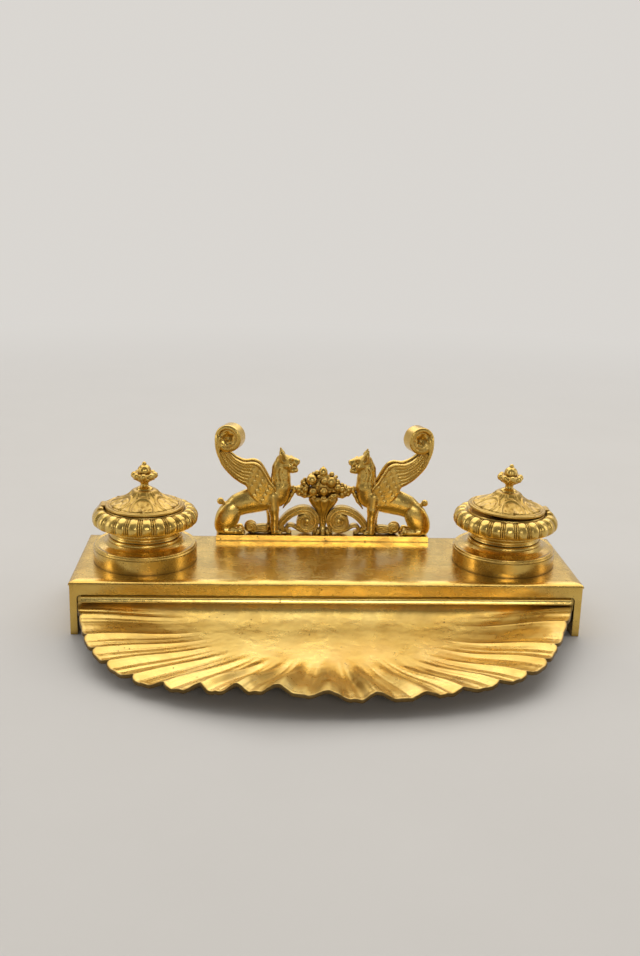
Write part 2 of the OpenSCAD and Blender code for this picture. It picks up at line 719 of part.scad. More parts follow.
scroll_t = 7;                             // thickness of the large scroll
link_t = 3;                               // thickness where it passes between the forelegs
volute_centre = [-11, 9.2];
volute_r = 7;
scroll_path = [[-28.4, 6.8], [-26.6, 9.9], [-23.6, 13], [-20, 15.3], [-16, 16.9], [-12, 17.2], [-8.2, 15.8],
    [-5.9, 12.6], [-5.3, 9], [-6.4, 5.6], [-9, 3.6], [-12.4, 3.4], [-15.2, 5], [-16.4, 8], [-15.4, 11.2],
    [-12.6, 12.8], [-9.8, 11.8], [-8.9, 9.4]];
scroll_tail = [[-8.6, 3], [-12, 2.2], [-15.6, 2.8], [-18.4, 4.4], [-21, 5.4], [-23.4, 4.6]];
tail_end = [-24, 3.2];
tail_end_r = 2.3;
link_path = [[-24, 3], [-30, 3.2], [-36, 3.4], [-42, 3.2], [-46.4, 3.4]];
small_volute = [-49.6, 4.6];

module scroll_shape() {
    difference() {
        union() {
            plate(scroll_t) {
                polygon(ribbon(curve(scroll_path, 4), 4.8, 1.9));
                polygon(ribbon(curve(scroll_tail, 4), 2.8, 2.4));
                translate(tail_end) circle(r = tail_end_r, $fn = 32);
            }
            plate(scroll_t - 2.4) translate(volute_centre) circle(r = volute_r, $fn = 40);
            plate(link_t) polygon(ribbon(curve(link_path, 5), 4.4, 4.4));
            plate(link_t + 3) translate(small_volute) circle(r = 4.4, $fn = 32);
            plate(link_t + 4.4) translate(small_volute) circle(r = 1.8, $fn = 24);
        }
        translate([-100, -30, -20]) cube([200, 60, 20]);
    }
}

module scroll_left() {
    color(bronze) on_plinth() scroll_shape();
}

module scroll_right() {
    color(bronze) on_plinth() mirror([1, 0, 0]) scroll_shape();
}

// ---------- fruit and its stand ----------

stand_rim_z = 26.4;
stem_flutes = 10;
foot_leaves = 9;
stand_foot_r = 4.2;
stand_half_d = 6.4;                       // the stand is flattened at the front and back
arm_far = 23.4;
core_r = 3.4;

module fruit_stand() {
    color(bronze) on_plinth() {
        difference() {
            rotate_extrude() polygon(concat([[0, 0], [stand_foot_r, 0]],
                curve([[4.1, 1.4], [3, 3.2], [2.3, 5.2], [2.2, 8], [2.6, 11], [3.2, 14], [4.6, 17.5],
                    [7.2, 20.7], [9, 24], [9.7, stand_rim_z - 0.8]], 4),
                [[9, stand_rim_z], [0, stand_rim_z]]));
            for (s = [-1, 1]) translate([0, s * (stand_half_d + stand_rim_z / 2), stand_rim_z / 2])
                cube([stand_rim_z, stand_rim_z, 2 * stand_rim_z], center = true);
            for (i = [0:stem_flutes - 1]) rotate([0, 0, 360 * (i + 0.5) / stem_flutes])
                translate([3.4, 0, 12]) rotate([0, 10, 0]) cylinder(r = 0.6, h = 12, center = true, $fn = 20);
        }
        for (i = [0:foot_leaves - 1]) rotate([0, 0, 360 * i / foot_leaves]) translate([2.9, 0, 1.6])
            rotate([0, 60, 0]) cylinder(r1 = 0.8, r2 = 1.3, h = 1.6, $fn = 20);
        // the core of the heap carries the arms of buds, which reach to each griffin's chest
        cylinder(r = core_r, h = stand_rim_z + 6);
        for (s = [0, 1]) mirror([s, 0, 0]) translate([3, 0, stand_rim_z + 3.2]) rotate([0, 90, 0])
            rotate_extrude($fn = 40) polygon(concat([[0, 0], [2.2, 0]],
                curve([[2.2, 3], [3.6, 6], [2.6, 8.4], [3.4, 10.6], [2.4, 13], [3, 15], [2.2, 17],
                    [2.2, arm_far - 3.6]], 3), [[0, arm_far - 3]]));
    }
}

// Each fruit is [x, y, z, radius]; z is above the plinth
fruit_fn = 10;
heap_room = 20;                           // half width of the cut that levels the heap's underside
heap_core = [[-6.6, 0, 34.4, 4.6], [0, 0, 34, 5.6], [6.6, 0, 34.4, 4.4]];
pointed_at = [-0.5, 0, 42.6];
fruits = [
    [-8.3, -2.6, 38.7, 3.8], [-8.3, 2.6, 38.3, 3.8], [-5.6, 0.5, 43, 1.9], [-13.4, 0, 36.3, 2.5],
    [0.2, -3.4, 37.9, 2.7], [0.6, 3.4, 37.7, 2.7], [4.9, -2.8, 36.9, 3.5], [5.2, 2.8, 36.5, 3.5],
    [4.6, 0.6, 42, 1.8], [9.2, 0, 36.9, 2.4], [9.4, -3, 33.1, 2.7], [9.6, 3, 33, 2.7],
    [0, -3.6, 31.2, 3], [0.4, 3.6, 31, 3], [-7.2, -3.5, 30.8, 3], [-7, 3.5, 30.9, 3],
    [-11.6, -1.6, 33.9, 2.2], [-11.6, 1.6, 33.6, 2.2], [12.4, 0, 35, 1.9]];

module fruit_heap() {
    color(bronze) on_plinth() {
        difference() {
            union() {
                for (f = concat(heap_core, fruits))
                    translate([f[0], f[1], f[2]]) sphere(r = f[3], $fn = fruit_fn);
                // pointed fruit on top
                translate(pointed_at) rotate_extrude($fn = fruit_fn) polygon(concat([[0, -3.6]],
                    curve([[0.8, -3.4], [3.2, -1.6], [3.6, 0.8], [2.4, 3.6], [1, 5.2], [0.2, 6]], 3),
                    [[0, 6]]));
            }
            translate([-heap_room, -heap_room, 0]) cube([2 * heap_room, 2 * heap_room, stand_rim_z]);
            // the fruit lies round the core and the arms of the stand
            cylinder(r = core_r + 0.1, h = stand_rim_z + 6.1);
            translate([0, 0, stand_rim_z + 3.2]) rotate([0, 90, 0])
                cylinder(r = 3.7, h = 60, center = true, $fn = 40);
        }
    }
}

casing();
shell_tray();
tray_screws();
drum_left();
drum_right();
drum_screws();
collar_left();
collar_right();
ink_pot_left();
ink_pot_right();
hinge_pin_left();
hinge_pin_right();
lid_left();
lid_right();
finial_left();
finial_right();
finial_nut_left();
finial_nut_right();
griffin_plinth();
plinth_nuts();
griffin_left();
griffin_right();
scroll_left();
scroll_right();
fruit_stand();
fruit_heap();
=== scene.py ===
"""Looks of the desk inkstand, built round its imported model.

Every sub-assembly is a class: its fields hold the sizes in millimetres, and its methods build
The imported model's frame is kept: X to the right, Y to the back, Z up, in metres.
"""

import logging
import math
from dataclasses import dataclass
from enum import Enum
from typing import Callable, Sequence

import bpy
import numpy as np
from mathutils import Matrix, Vector


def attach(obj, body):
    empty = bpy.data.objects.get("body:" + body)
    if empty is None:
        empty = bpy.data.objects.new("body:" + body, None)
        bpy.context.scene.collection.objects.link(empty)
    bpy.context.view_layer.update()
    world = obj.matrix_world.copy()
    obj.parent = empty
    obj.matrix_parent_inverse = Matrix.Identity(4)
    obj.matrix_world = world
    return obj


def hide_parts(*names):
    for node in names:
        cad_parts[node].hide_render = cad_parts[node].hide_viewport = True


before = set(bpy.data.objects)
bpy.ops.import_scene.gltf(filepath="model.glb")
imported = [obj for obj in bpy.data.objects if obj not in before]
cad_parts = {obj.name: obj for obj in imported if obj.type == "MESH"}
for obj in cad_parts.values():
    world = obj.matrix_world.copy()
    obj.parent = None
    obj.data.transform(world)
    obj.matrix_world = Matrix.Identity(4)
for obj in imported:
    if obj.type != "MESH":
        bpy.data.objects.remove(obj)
log = logging.getLogger("inkstand")

MM = 0.001
TAU = 2 * math.pi
BASE = "base"
Array = np.ndarray
Point = Sequence[float]
Row = tuple[float, ...]
Relief = Callable[[Array, Array], Array]


class Side(Enum):
    """The two ends of the inkstand, as the sign of X."""

    LEFT = -1
    RIGHT = 1

    @property
    def word(self) -> str:
        """Name of the side, as piece names use it."""
        return self.name.lower()


# ---------- small maths ----------


def smooth_step(x: Array) -> Array:
    """Eases from 0 to 1 as x goes from 0 to 1."""
    t = np.clip(x, 0.0, 1.0)
    return t * t * (3.0 - 2.0 * t)


def rising(x: Array, start: float, width: float) -> Array:
    """Eases from 0 at start to 1 at a width beyond it."""
    return smooth_step((x - start) / width)


def falling(x: Array, end: float, width: float) -> Array:
    """Eases from 1 at a width before end to 0 at end."""
    return smooth_step((end - x) / width)


def bell(x: Array, at: float, width: float | Array) -> Array:
    """A smooth hump of height 1 at x = at, which has fallen to 0.37 at a width from it."""
    return np.exp(-(((x - at) / width) ** 2))


def smooth_min(a: Array, b: Array, blend: float) -> Array:
    """Lower of two distance fields, with their joint filled over the width blend.

    Args:
        a: the first field.
        b: the second field.
        blend: width of the filled joint.

    Returns:
        The joined field.
    """
    if blend <= 0:
        return np.minimum(a, b)
    h = np.clip(blend - np.abs(a - b), 0.0, None) / blend
    return np.minimum(a, b) - h * h * blend / 4


def smooth_max(a: Array, b: Array, blend: float) -> Array:
    """Higher of two distance fields, with a rounded edge."""
    return -smooth_min(-a, -b, blend)


def curve(points: Sequence[Point], steps: int = 8) -> Array:
    """Smooth open curve through points (Catmull-Rom).

    Args:
        points: the points, of any dimension.
        steps: how many steps each span gets.

    Returns:
        The points of the curve, ends included.
    """
    p = np.array(points, float)
    p = np.vstack([2 * p[0] - p[1], p, 2 * p[-1] - p[-2]])
    t = np.linspace(0, 1, steps, endpoint=False)[:, None]
    spans = [
        0.5 * (2 * b + (c - a) * t + (2 * a - 5 * b + 4 * c - d) * t**2 + (3 * b - a - 3 * c + d) * t**3)
        for a, b, c, d in zip(p[:-3], p[1:-2], p[2:-1], p[3:])
    ]
    return np.vstack([*spans, p[-2][None]])


def arc(centre: Point, radius: float, start: float, end: float, steps: int = 8) -> Array:
    """Points of an arc about centre, from angle start to angle end in degrees."""
    t = np.radians(np.linspace(start, end, steps + 1))
    return np.column_stack([centre[0] + radius * np.cos(t), centre[1] + radius * np.sin(t)])


def resample(path: Array, spacing: float) -> Array:
    """The same polyline with points at an even spacing.

    Args:
        path: points of the polyline.
        spacing: the wanted distance between points.

    Returns:
        The new points, ends included.
    """
    length = np.r_[0, np.cumsum(np.linalg.norm(np.diff(path, axis=0), axis=1))]
    at = np.linspace(0, length[-1], max(2, round(length[-1] / spacing) + 1))
    return np.column_stack([np.interp(at, length, path[:, i]) for i in range(path.shape[1])])


# ---------- meshes ----------


@dataclass
class Shape:
    """Points in millimetres and faces of three or four corners."""

    points: Array
    faces: list[Array]

    def moved(self, x: float = 0, y: float = 0, z: float = 0) -> "Shape":
        """The shape moved by x, y and z."""
        return Shape(self.points + np.array([x, y, z]), self.faces)

    def mirrored(self) -> "Shape":
        """The shape mirrored in X, with its faces still outward."""
        return Shape(self.points * np.array([-1, 1, 1]), [f[:, ::-1] for f in self.faces])

    def turned(self, pivot: Point, degrees: float) -> "Shape":
        """The shape turned about an axis along Y through pivot (x, z); positive drops the +X side.

        Args:
            pivot: x and z of the axis.
            degrees: how far to turn.

        Returns:
            The turned shape.
        """
        a = math.radians(degrees)
        x, z = self.points[:, 0] - pivot[0], self.points[:, 2] - pivot[1]
        return Shape(np.column_stack([pivot[0] + x * math.cos(a) + z * math.sin(a), self.points[:, 1],
                                      pivot[1] - x * math.sin(a) + z * math.cos(a)]), self.faces)

    @staticmethod
    def joined(shapes: Sequence["Shape"]) -> "Shape":
        """One shape out of several.

        Args:
            shapes: the shapes to join.

        Returns:
            One shape with all their points and faces.
        """
        start, faces = 0, []
        for s in shapes:
            faces += [f + start for f in s.faces]
            start += len(s.points)
        return Shape(np.vstack([s.points for s in shapes]), faces)


def grid_faces(rows: int, cols: int, wrap_rows: bool = False, wrap_cols: bool = False,
               flip: bool = False) -> Array:
    """Quads of a grid of points that is stored row by row.

    Args:
        rows: points along the first direction.
        cols: points along the second direction.
        wrap_rows: the last row joins the first.
        wrap_cols: the last column joins the first.
        flip: turns the faces over.

    Returns:
        An array of four point numbers a face.
    """
    i = np.arange(rows if wrap_rows else rows - 1)[:, None]
    j = np.arange(cols if wrap_cols else cols - 1)[None]
    a, b = i * cols + j, i * cols + (j + 1) % cols
    c, d = (i + 1) % rows * cols + (j + 1) % cols, (i + 1) % rows * cols + j
    quads = np.stack([a, b, c, d], -1).reshape(-1, 4)
    return quads[:, ::-1] if flip else quads


def lathe(profile: Array, steps: int, relief: Relief | None = None, closed: bool = False) -> Shape:
    """A turned shape with a carved surface.

    Args:
        profile: (radius, height) points, going round the section with the metal on their left.
        steps: facets round the axis.
        relief: how far the surface stands proud, from the section's point and the angle.
        closed: the profile's end joins its start.

    Returns:
        The turned shape, axis along Z.
    """
    n = len(profile)
    ahead = np.roll(profile, -1, 0) if closed else np.vstack([profile[1:], profile[-1:]])
    behind = np.roll(profile, 1, 0) if closed else np.vstack([profile[:1], profile[:-1]])
    way = ahead - behind
    way /= np.maximum(np.linalg.norm(way, axis=1, keepdims=True), 1e-9)
    out = np.column_stack([way[:, 1], -way[:, 0]])
    angle = np.linspace(0, TAU, steps, endpoint=False)
    r = np.repeat(profile[:, 0:1], steps, 1)
    z = np.repeat(profile[:, 1:2], steps, 1)
    if relief is not None:
        rise = relief(np.stack([r, z], -1), angle[None] * np.ones_like(r))
        r, z = r + rise * out[:, 0:1], z + rise * out[:, 1:2]
    points = np.stack([r * np.cos(angle), r * np.sin(angle), z], -1).reshape(-1, 3)
    return Shape(points, [grid_faces(n, steps, closed, True)])


def sphere(centre: Point, radii: Point, rings: int = 14, steps: int = 22) -> Shape:
    """A ball or an egg about centre.

    Args:
        centre: its middle.
        radii: its radius along X, Y and Z.
        rings: points from pole to pole.
        steps: facets round the axis.

    Returns:
        The ball.
    """
    half = np.column_stack([np.sin(np.linspace(0, math.pi, rings)), -np.cos(np.linspace(0, math.pi, rings))])
    ball = lathe(half, steps)
    return Shape(ball.points * np.array(radii) + np.array(centre), ball.faces)


def prism(outline: Array, low: float, high: float, axis: str = "y", bevel: float = 0.0) -> Shape:
    """An outline drawn out along Y (outline in X, Z) or X (outline in Y, Z), with bevelled ends.

    Args:
        outline: closed outline, anticlockwise.
        low: where the shape starts along the axis.
        high: where it ends.
        axis: "y" or "x".
        bevel: how far the ends are drawn in.

    Returns:
        The drawn shape with both ends closed by fans.
    """
    centre = outline.mean(0)
    size = np.abs(outline - centre).max(0)
    inner = centre + (outline - centre) * (1 - bevel / size)
    rings = [(inner, low), (outline, low + bevel), (outline, high - bevel), (inner, high)]
    n = len(outline)
    flat = [np.column_stack([o, np.full(n, at)]) for o, at in rings]
    points = np.vstack([*flat, [[*centre, low]], [[*centre, high]]])
    sides = grid_faces(4, n, False, True)
    i = np.arange(n)
    first = np.column_stack([(i + 1) % n, i, np.full(n, 4 * n)])
    last = np.column_stack([3 * n + i, 3 * n + (i + 1) % n, np.full(n, 4 * n + 1)])
    faces = [sides, first, last]
    if axis == "y":
        return Shape(points[:, [0, 2, 1]], [f[:, ::-1] for f in faces])
    return Shape(points[:, [2, 0, 1]], faces)


def rod(radius: float, low: float, high: float) -> Shape:
    """A rod along Y with bevelled ends."""
    steps, bevel = 28, 0.25
    return prism(arc((0, 0), radius, 0, 360 - 360 / steps, steps - 1), low, high, "y", bevel)


class Clay:
    """A block of clay: a distance field on a grid, to which forms are added before it is skinned.

    Attributes:
        EDGES: the twelve edges of a cell, as pairs of its corners.
        SPARE_CELLS: how many cells stay free on every side.
        BARE: the distance that a bare block holds everywhere, in millimetres.
        STRIP_EDGE: how wide the edges of a strip are rounded.
    """

    EDGES = ((0, 1), (0, 2), (0, 4), (1, 3), (1, 5), (2, 3), (2, 6), (3, 7), (4, 5), (4, 6), (5, 7), (6, 7))
    SPARE_CELLS = 3
    BARE = 5.0
    STRIP_EDGE = 0.6

    def __init__(self, low: Point, high: Point, cell: float) -> None:
        """A bare block from low to high, with cells of that size.

        Args:
            low: its lowest corner.
            high: its highest corner.
            cell: size of a cell.
        """
        self.cell = cell
        self.low = np.array(low, float) - self.SPARE_CELLS * cell
        count = np.ceil((np.array(high) + self.SPARE_CELLS * cell - self.low) / cell).astype(int) + 1
        self.axes = [self.low[a] + cell * np.arange(count[a]) for a in range(3)]
        self.field = np.full(count, self.BARE)

    def form(self, low: Point, high: Point, distance: Callable[..., Array], blend: float = 0.0,
             cut: bool = False) -> None:
        """Adds or cuts a form.

        Args:
            low: lowest corner of the form.
            high: highest corner of the form.
            distance: the form's distance field, of x, y and z.
            blend: width of the fillet where the form meets the clay.
            cut: the form is taken away.
        """
        margin = blend + 2 * self.cell
        part = tuple(
            slice(int(np.searchsorted(self.axes[a], low[a] - margin)),
                  int(np.searchsorted(self.axes[a], high[a] + margin)) + 1)
            for a in range(3)
        )
        x = self.axes[0][part[0]][:, None, None]
        y = self.axes[1][part[1]][None, :, None]
        z = self.axes[2][part[2]][None, None, :]
        made = distance(x, y, z)
        here = self.field[part]
        self.field[part] = smooth_max(here, -made, blend) if cut else smooth_min(here, made, blend)

    def ball(self, centre: Point, radii: float | Point, blend: float = 0.0, tilt: float = 0.0,
             cut: bool = False) -> None:
        """A ball or an egg; tilt turns it about Y, in degrees, towards +X at its top.

        Args:
            centre: its middle.
            radii: its radius, or those along X, Y and Z.
            blend: width of the fillet where it meets the clay.
            tilt: how far it leans, in degrees.
            cut: the form is taken away.
        """
        r = np.array([radii] * 3 if np.isscalar(radii) else radii, float)
        c, a = np.array(centre, float), math.radians(tilt)
        reach = float(r.max())

        def distance(x: Array, y: Array, z: Array) -> Array:
            """Distance to the egg, exact on its surface.

            Args:
                x, y, z: coordinates of the places.

            Returns:
                The distances.
            """
            u, v, w = x - c[0], y - c[1], z - c[2]
            u, w = u * math.cos(a) - w * math.sin(a), u * math.sin(a) + w * math.cos(a)
            k0 = np.sqrt((u / r[0]) ** 2 + (v / r[1]) ** 2 + (w / r[2]) ** 2)
            k1 = np.sqrt((u / r[0] ** 2) ** 2 + (v / r[1] ** 2) ** 2 + (w / r[2] ** 2) ** 2)
            return k0 * (k0 - 1) / np.maximum(k1, 1e-6)

        self.form(c - reach, c + reach, distance, blend, cut)

    def limb(self, joints: Sequence[Point], blend: float = 1.0, inner: float = 0.8, cut: bool = False,
             thin: float = 1.0) -> None:
        """A limb through balls of [x, y, z, radius], each drawn out to the next; thin flattens it in Y.

        Args:
            joints: the balls, in order.
            blend: width of the fillet where it meets the clay.
            inner: width of the fillets between its own parts.
            cut: the form is taken away.
            thin: how many times thinner than wide it is.
        """
        j = np.array(joints, float)
        reach = j[:, 3:4]

        def distance(x: Array, y: Array, z: Array) -> Array:
            """Distance to the chain of cones.

            Args:
                x, y, z: coordinates of the places.

            Returns:
                The distances.
            """
            total = None
            for a, b in zip(j[:-1], j[1:]):
                way = b[:3] - a[:3]
                t = ((x - a[0]) * way[0] + (y - a[1]) * way[1] + (z - a[2]) * way[2]) / max(way @ way, 1e-9)
                t = np.clip(t, 0, 1)
                off = np.sqrt((x - a[0] - t * way[0]) ** 2 + ((y - a[1] - t * way[1]) * thin) ** 2
                              + (z - a[2] - t * way[2]) ** 2)
                one = off - (a[3] + t * (b[3] - a[3]))
                total = one if total is None else smooth_min(total, one, inner)
            return total

        room = reach * np.array([[1, max(1, 1 / thin), 1]])
        self.form((j[:, :3] - room).min(0), (j[:, :3] + room).max(0), distance, blend, cut)

    def band(self, path: Array, widths: Point, section: Callable[[Array], Array], y: float = 0.0,
             blend: float = 0.3) -> None:
        """An upright strip along a path in X and Z.

        Args:
            path: points of its middle line.
            widths: width at the start and at the end, or at every point.
            section: half thickness in Y, from the share (0 to 1) of the way out to an edge.
            y: middle of its thickness.
            blend: width of the fillet where it meets the clay.
        """
        half = np.linspace(widths[0], widths[-1], len(path)) / 2 if len(widths) == 2 else np.array(widths) / 2
        thick = float(section(np.zeros(1))[0]) + 1

        def distance(x: Array, yy: Array, z: Array) -> Array:
            """Distance to the strip.

            Args:
                x, yy, z: coordinates of the places.

            Returns:
                The distances.
            """
            best = np.full(np.broadcast_shapes(x.shape, z.shape), 1e3)
            share = np.zeros_like(best)
            for a, b, ha, hb in zip(path[:-1], path[1:], half[:-1], half[1:]):
                way = b - a
                t = np.clip(((x - a[0]) * way[0] + (z - a[1]) * way[1]) / max(way @ way, 1e-9), 0, 1)
                off = np.sqrt((x - a[0] - t * way[0]) ** 2 + (z - a[1] - t * way[1]) ** 2)
                h = ha + t * (hb - ha)
                nearer = off - h < best
                share = np.where(nearer, off / h, share)
                best = np.minimum(best, off - h)
            return smooth_max(np.abs(yy - y) - section(share), best, self.STRIP_EDGE)

        reach = half.max()
        self.form((path[:, 0].min() - reach, y - thick, path[:, 1].min() - reach),
                  (path[:, 0].max() + reach, y + thick, path[:, 1].max() + reach), distance, blend)

    def trim(self, floor: float) -> None:
        """Cuts away all that lies below the level floor.

        Args:
            floor: height of the cut.
        """
        low, high = ([axis[i] for axis in self.axes] for i in (0, -1))
        high[2] = floor
        self.form(low, high, lambda x, y, z: z - floor, cut=True)

    def skin(self, relax: int = 1) -> Shape:
        """The clay's surface as quads, with its points eased a little.

        Args:
            relax: how many times the points are eased.

        Returns:
            The skin.
        """
        f = self.field
        nx, ny, nz = f.shape
        corners = [f[i:nx - 1 + i, j:ny - 1 + j, k:nz - 1 + k]
                   for i in (0, 1) for j in (0, 1) for k in (0, 1)]
        inside = sum((c < 0).astype(np.int8) for c in corners)
        cells = np.argwhere((inside > 0) & (inside < 8))
        number = np.full(inside.shape, -1, np.int64)
        number[tuple(cells.T)] = np.arange(len(cells))
        value = np.stack([c[tuple(cells.T)] for c in corners], 1)
        spot = np.array([(i, j, k) for i in (0, 1) for j in (0, 1) for k in (0, 1)], float)
        total, hits = np.zeros((len(cells), 3)), np.zeros((len(cells), 1))
        for a, b in self.EDGES:
            va, vb = value[:, a], value[:, b]
            crosses = (va < 0) != (vb < 0)
            t = np.where(crosses, va / np.where(crosses, va - vb, 1), 0)[:, None]
            total += np.where(crosses[:, None], spot[a] + t * (spot[b] - spot[a]), 0)
            hits += crosses[:, None]
        points = self.low + self.cell * (cells + total / hits)
        faces = []
        for axis in range(3):
            here = [slice(1, n - 1) for n in f.shape]
            there = list(here)
            here[axis], there[axis] = slice(0, f.shape[axis] - 1), slice(1, f.shape[axis])
            a, b = f[tuple(here)] < 0, f[tuple(there)] < 0
            u, v = [i for i in range(3) if i != axis]
            for leaving in (True, False):
                at = np.argwhere(a & ~b if leaving else ~a & b)
                at[:, u] += 1
                at[:, v] += 1
                ring = []
                for du, dv in ((-1, -1), (0, -1), (0, 0), (-1, 0)):
                    cell = at.copy()
                    cell[:, u] += du
                    cell[:, v] += dv
                    ring.append(number[tuple(cell.T)])
                quads = np.stack(ring, 1)
                faces.append(quads if leaving == (axis != 1) else quads[:, ::-1])
        shape = Shape(points, [np.vstack(faces)])
        for _ in range(relax):
            shape.points = 0.5 * shape.points + 0.5 * neighbour_mean(shape.points, shape.faces)
        return shape


def neighbour_mean(values: Array, faces: Sequence[Array]) -> Array:
    """Mean of each point's neighbours along the faces' edges.

    Args:
        values: one row for each point.
        faces: the faces that join the points.

    Returns:
        The means, one row for each point.
    """
    total, count = np.zeros_like(values), np.zeros((len(values), 1))
    for f in faces:
        for a, b in zip(f.T, np.roll(f, -1, 1).T):
            for one, other in ((a, b), (b, a)):
                for i in range(values.shape[1]):
                    total[:, i] += np.bincount(one, values[other, i], len(values))
                count[:, 0] += np.bincount(one, minlength=len(values))
    return total / np.maximum(count, 1)


# ---------- finishes ----------


class Nodes:
    """The node tree of a material or of the world, with short calls for the nodes used here."""

    def __init__(self, owner: bpy.types.Material | bpy.types.World,
                 out: str = "ShaderNodeOutputMaterial") -> None:
        """Empties the owner's tree, apart from an output node.

        Args:
            owner: the material or world.
            out: kind of the output node.
        """
        owner.use_nodes = True
        self.owner, self.tree = owner, owner.node_tree
        self.tree.nodes.clear()
        self.out = self.add(out)

    @classmethod
    def material(cls, name: str) -> "Nodes":
        """The tree of a new material."""
        return cls(bpy.data.materials.new(name))

    def finish(self, shader: bpy.types.Node) -> bpy.types.Material | bpy.types.World:
        """Sends a shader to the output, and gives back what the tree belongs to."""
        self.put(self.out, 0, shader.outputs[0])
        return self.owner

    def add(self, kind: str, **inputs: object) -> bpy.types.Node:
        """Adds a node and sets or links its inputs, by name with _ for a space.

        Args:
            kind: kind of the node.
            **inputs: a value or a socket for each input.

        Returns:
            The new node.
        """
        node = self.tree.nodes.new(kind)
        for name, value in inputs.items():
            self.put(node, name.replace("_", " "), value)
        return node

    def put(self, node: bpy.types.Node, name: str | int, value: object) -> None:
        """Sets an input, or links a socket to it.

        Args:
            node: the node.
            name: name or number of the input.
            value: a value or a socket.
        """
        if isinstance(value, bpy.types.NodeSocket):
            self.tree.links.new(value, node.inputs[name])
        else:
            node.inputs[name].default_value = value

    def place(self, stretch: Point = (1, 1, 1)) -> bpy.types.NodeSocket:
        """Place on the piece in metres, scaled along each axis.

        Args:
            stretch: the scale along X, Y and Z.

        Returns:
            The socket of the result.
        """
        where = self.add("ShaderNodeTexCoord").outputs["Object"]
        if tuple(stretch) == (1, 1, 1):
            return where
        return self.add("ShaderNodeMapping", Vector=where, Scale=stretch).outputs[0]

    def noise(self, scale: float, detail: float = 4, rough: float = 0.55, stretch: Point = (1, 1, 1),
              distort: float = 0) -> bpy.types.NodeSocket:
        """Cloudy noise from 0 to 1; scale is per metre."""
        return self.add("ShaderNodeTexNoise", Vector=self.place(stretch), Scale=scale, Detail=detail,
                        Roughness=rough, Distortion=distort).outputs["Fac"]

    def ramp(self, value: bpy.types.NodeSocket, low: float, high: float, start: float = 0,
             end: float = 1) -> bpy.types.NodeSocket:
        """Spreads value from low..high over start..end, and stops at both.

        Args:
            value: the socket to spread.
            low: value that gives start.
            high: value that gives end.
            start: the result at low.
            end: the result at high.

        Returns:
            The socket of the result.
        """
        node = self.add("ShaderNodeMapRange")
        for i, v in enumerate((value, low, high, start, end)):
            self.put(node, i, v)
        return node.outputs[0]

    def mix(self, share: object, a: object, b: object) -> bpy.types.NodeSocket:
        """Colour between a and b.

        Args:
            share: from 0 for a to 1 for b.
            a: a colour or a socket.
            b: a colour or a socket.

        Returns:
            The socket of the result.
        """
        node = self.tree.nodes.new("ShaderNodeMix")
        node.data_type = "RGBA"
        for i, v in ((0, share), (6, a), (7, b)):
            self.put(node, i, v if isinstance(v, (bpy.types.NodeSocket, float, int)) else (*v, 1))
        return node.outputs[2]

    def maths(self, what: str, a: object, b: object) -> bpy.types.NodeSocket:
        """A sum, product or other operation on two values.

        Args:
            what: name of the operation.
            a: a value or a socket.
            b: a value or a socket.

        Returns:
            The socket of the result.
        """
        node = self.tree.nodes.new("ShaderNodeMath")
        node.operation = what
        self.put(node, 0, a)
        self.put(node, 1, b)
        return node.outputs[0]

    def shaders(self, share: bpy.types.NodeSocket, a: bpy.types.Node, b: bpy.types.Node) -> bpy.types.Node:
        """A shader between a and b.

        Args:
            share: from 0 for a to 1 for b.
            a: the first shader.
            b: the second shader.

        Returns:
            The node of the mix.
        """
        node = self.add("ShaderNodeMixShader", Fac=share)
        self.put(node, 1, a.outputs[0])
        self.put(node, 2, b.outputs[0])
        return node

    def bump(self, height: bpy.types.NodeSocket, depth: float,
             normal: bpy.types.NodeSocket | None = None) -> bpy.types.NodeSocket:
        """Bumps of that depth in metres, on top of another normal.

        Args:
            height: the socket of the bumps.
            depth: their depth.
            normal: the normal they lie on.

        Returns:
            The new normal.
        """
        node = self.add("ShaderNodeBump", Height=height, Distance=depth, Strength=1.0)
        if normal is not None:
            self.put(node, "Normal", normal)
        return node.outputs[0]


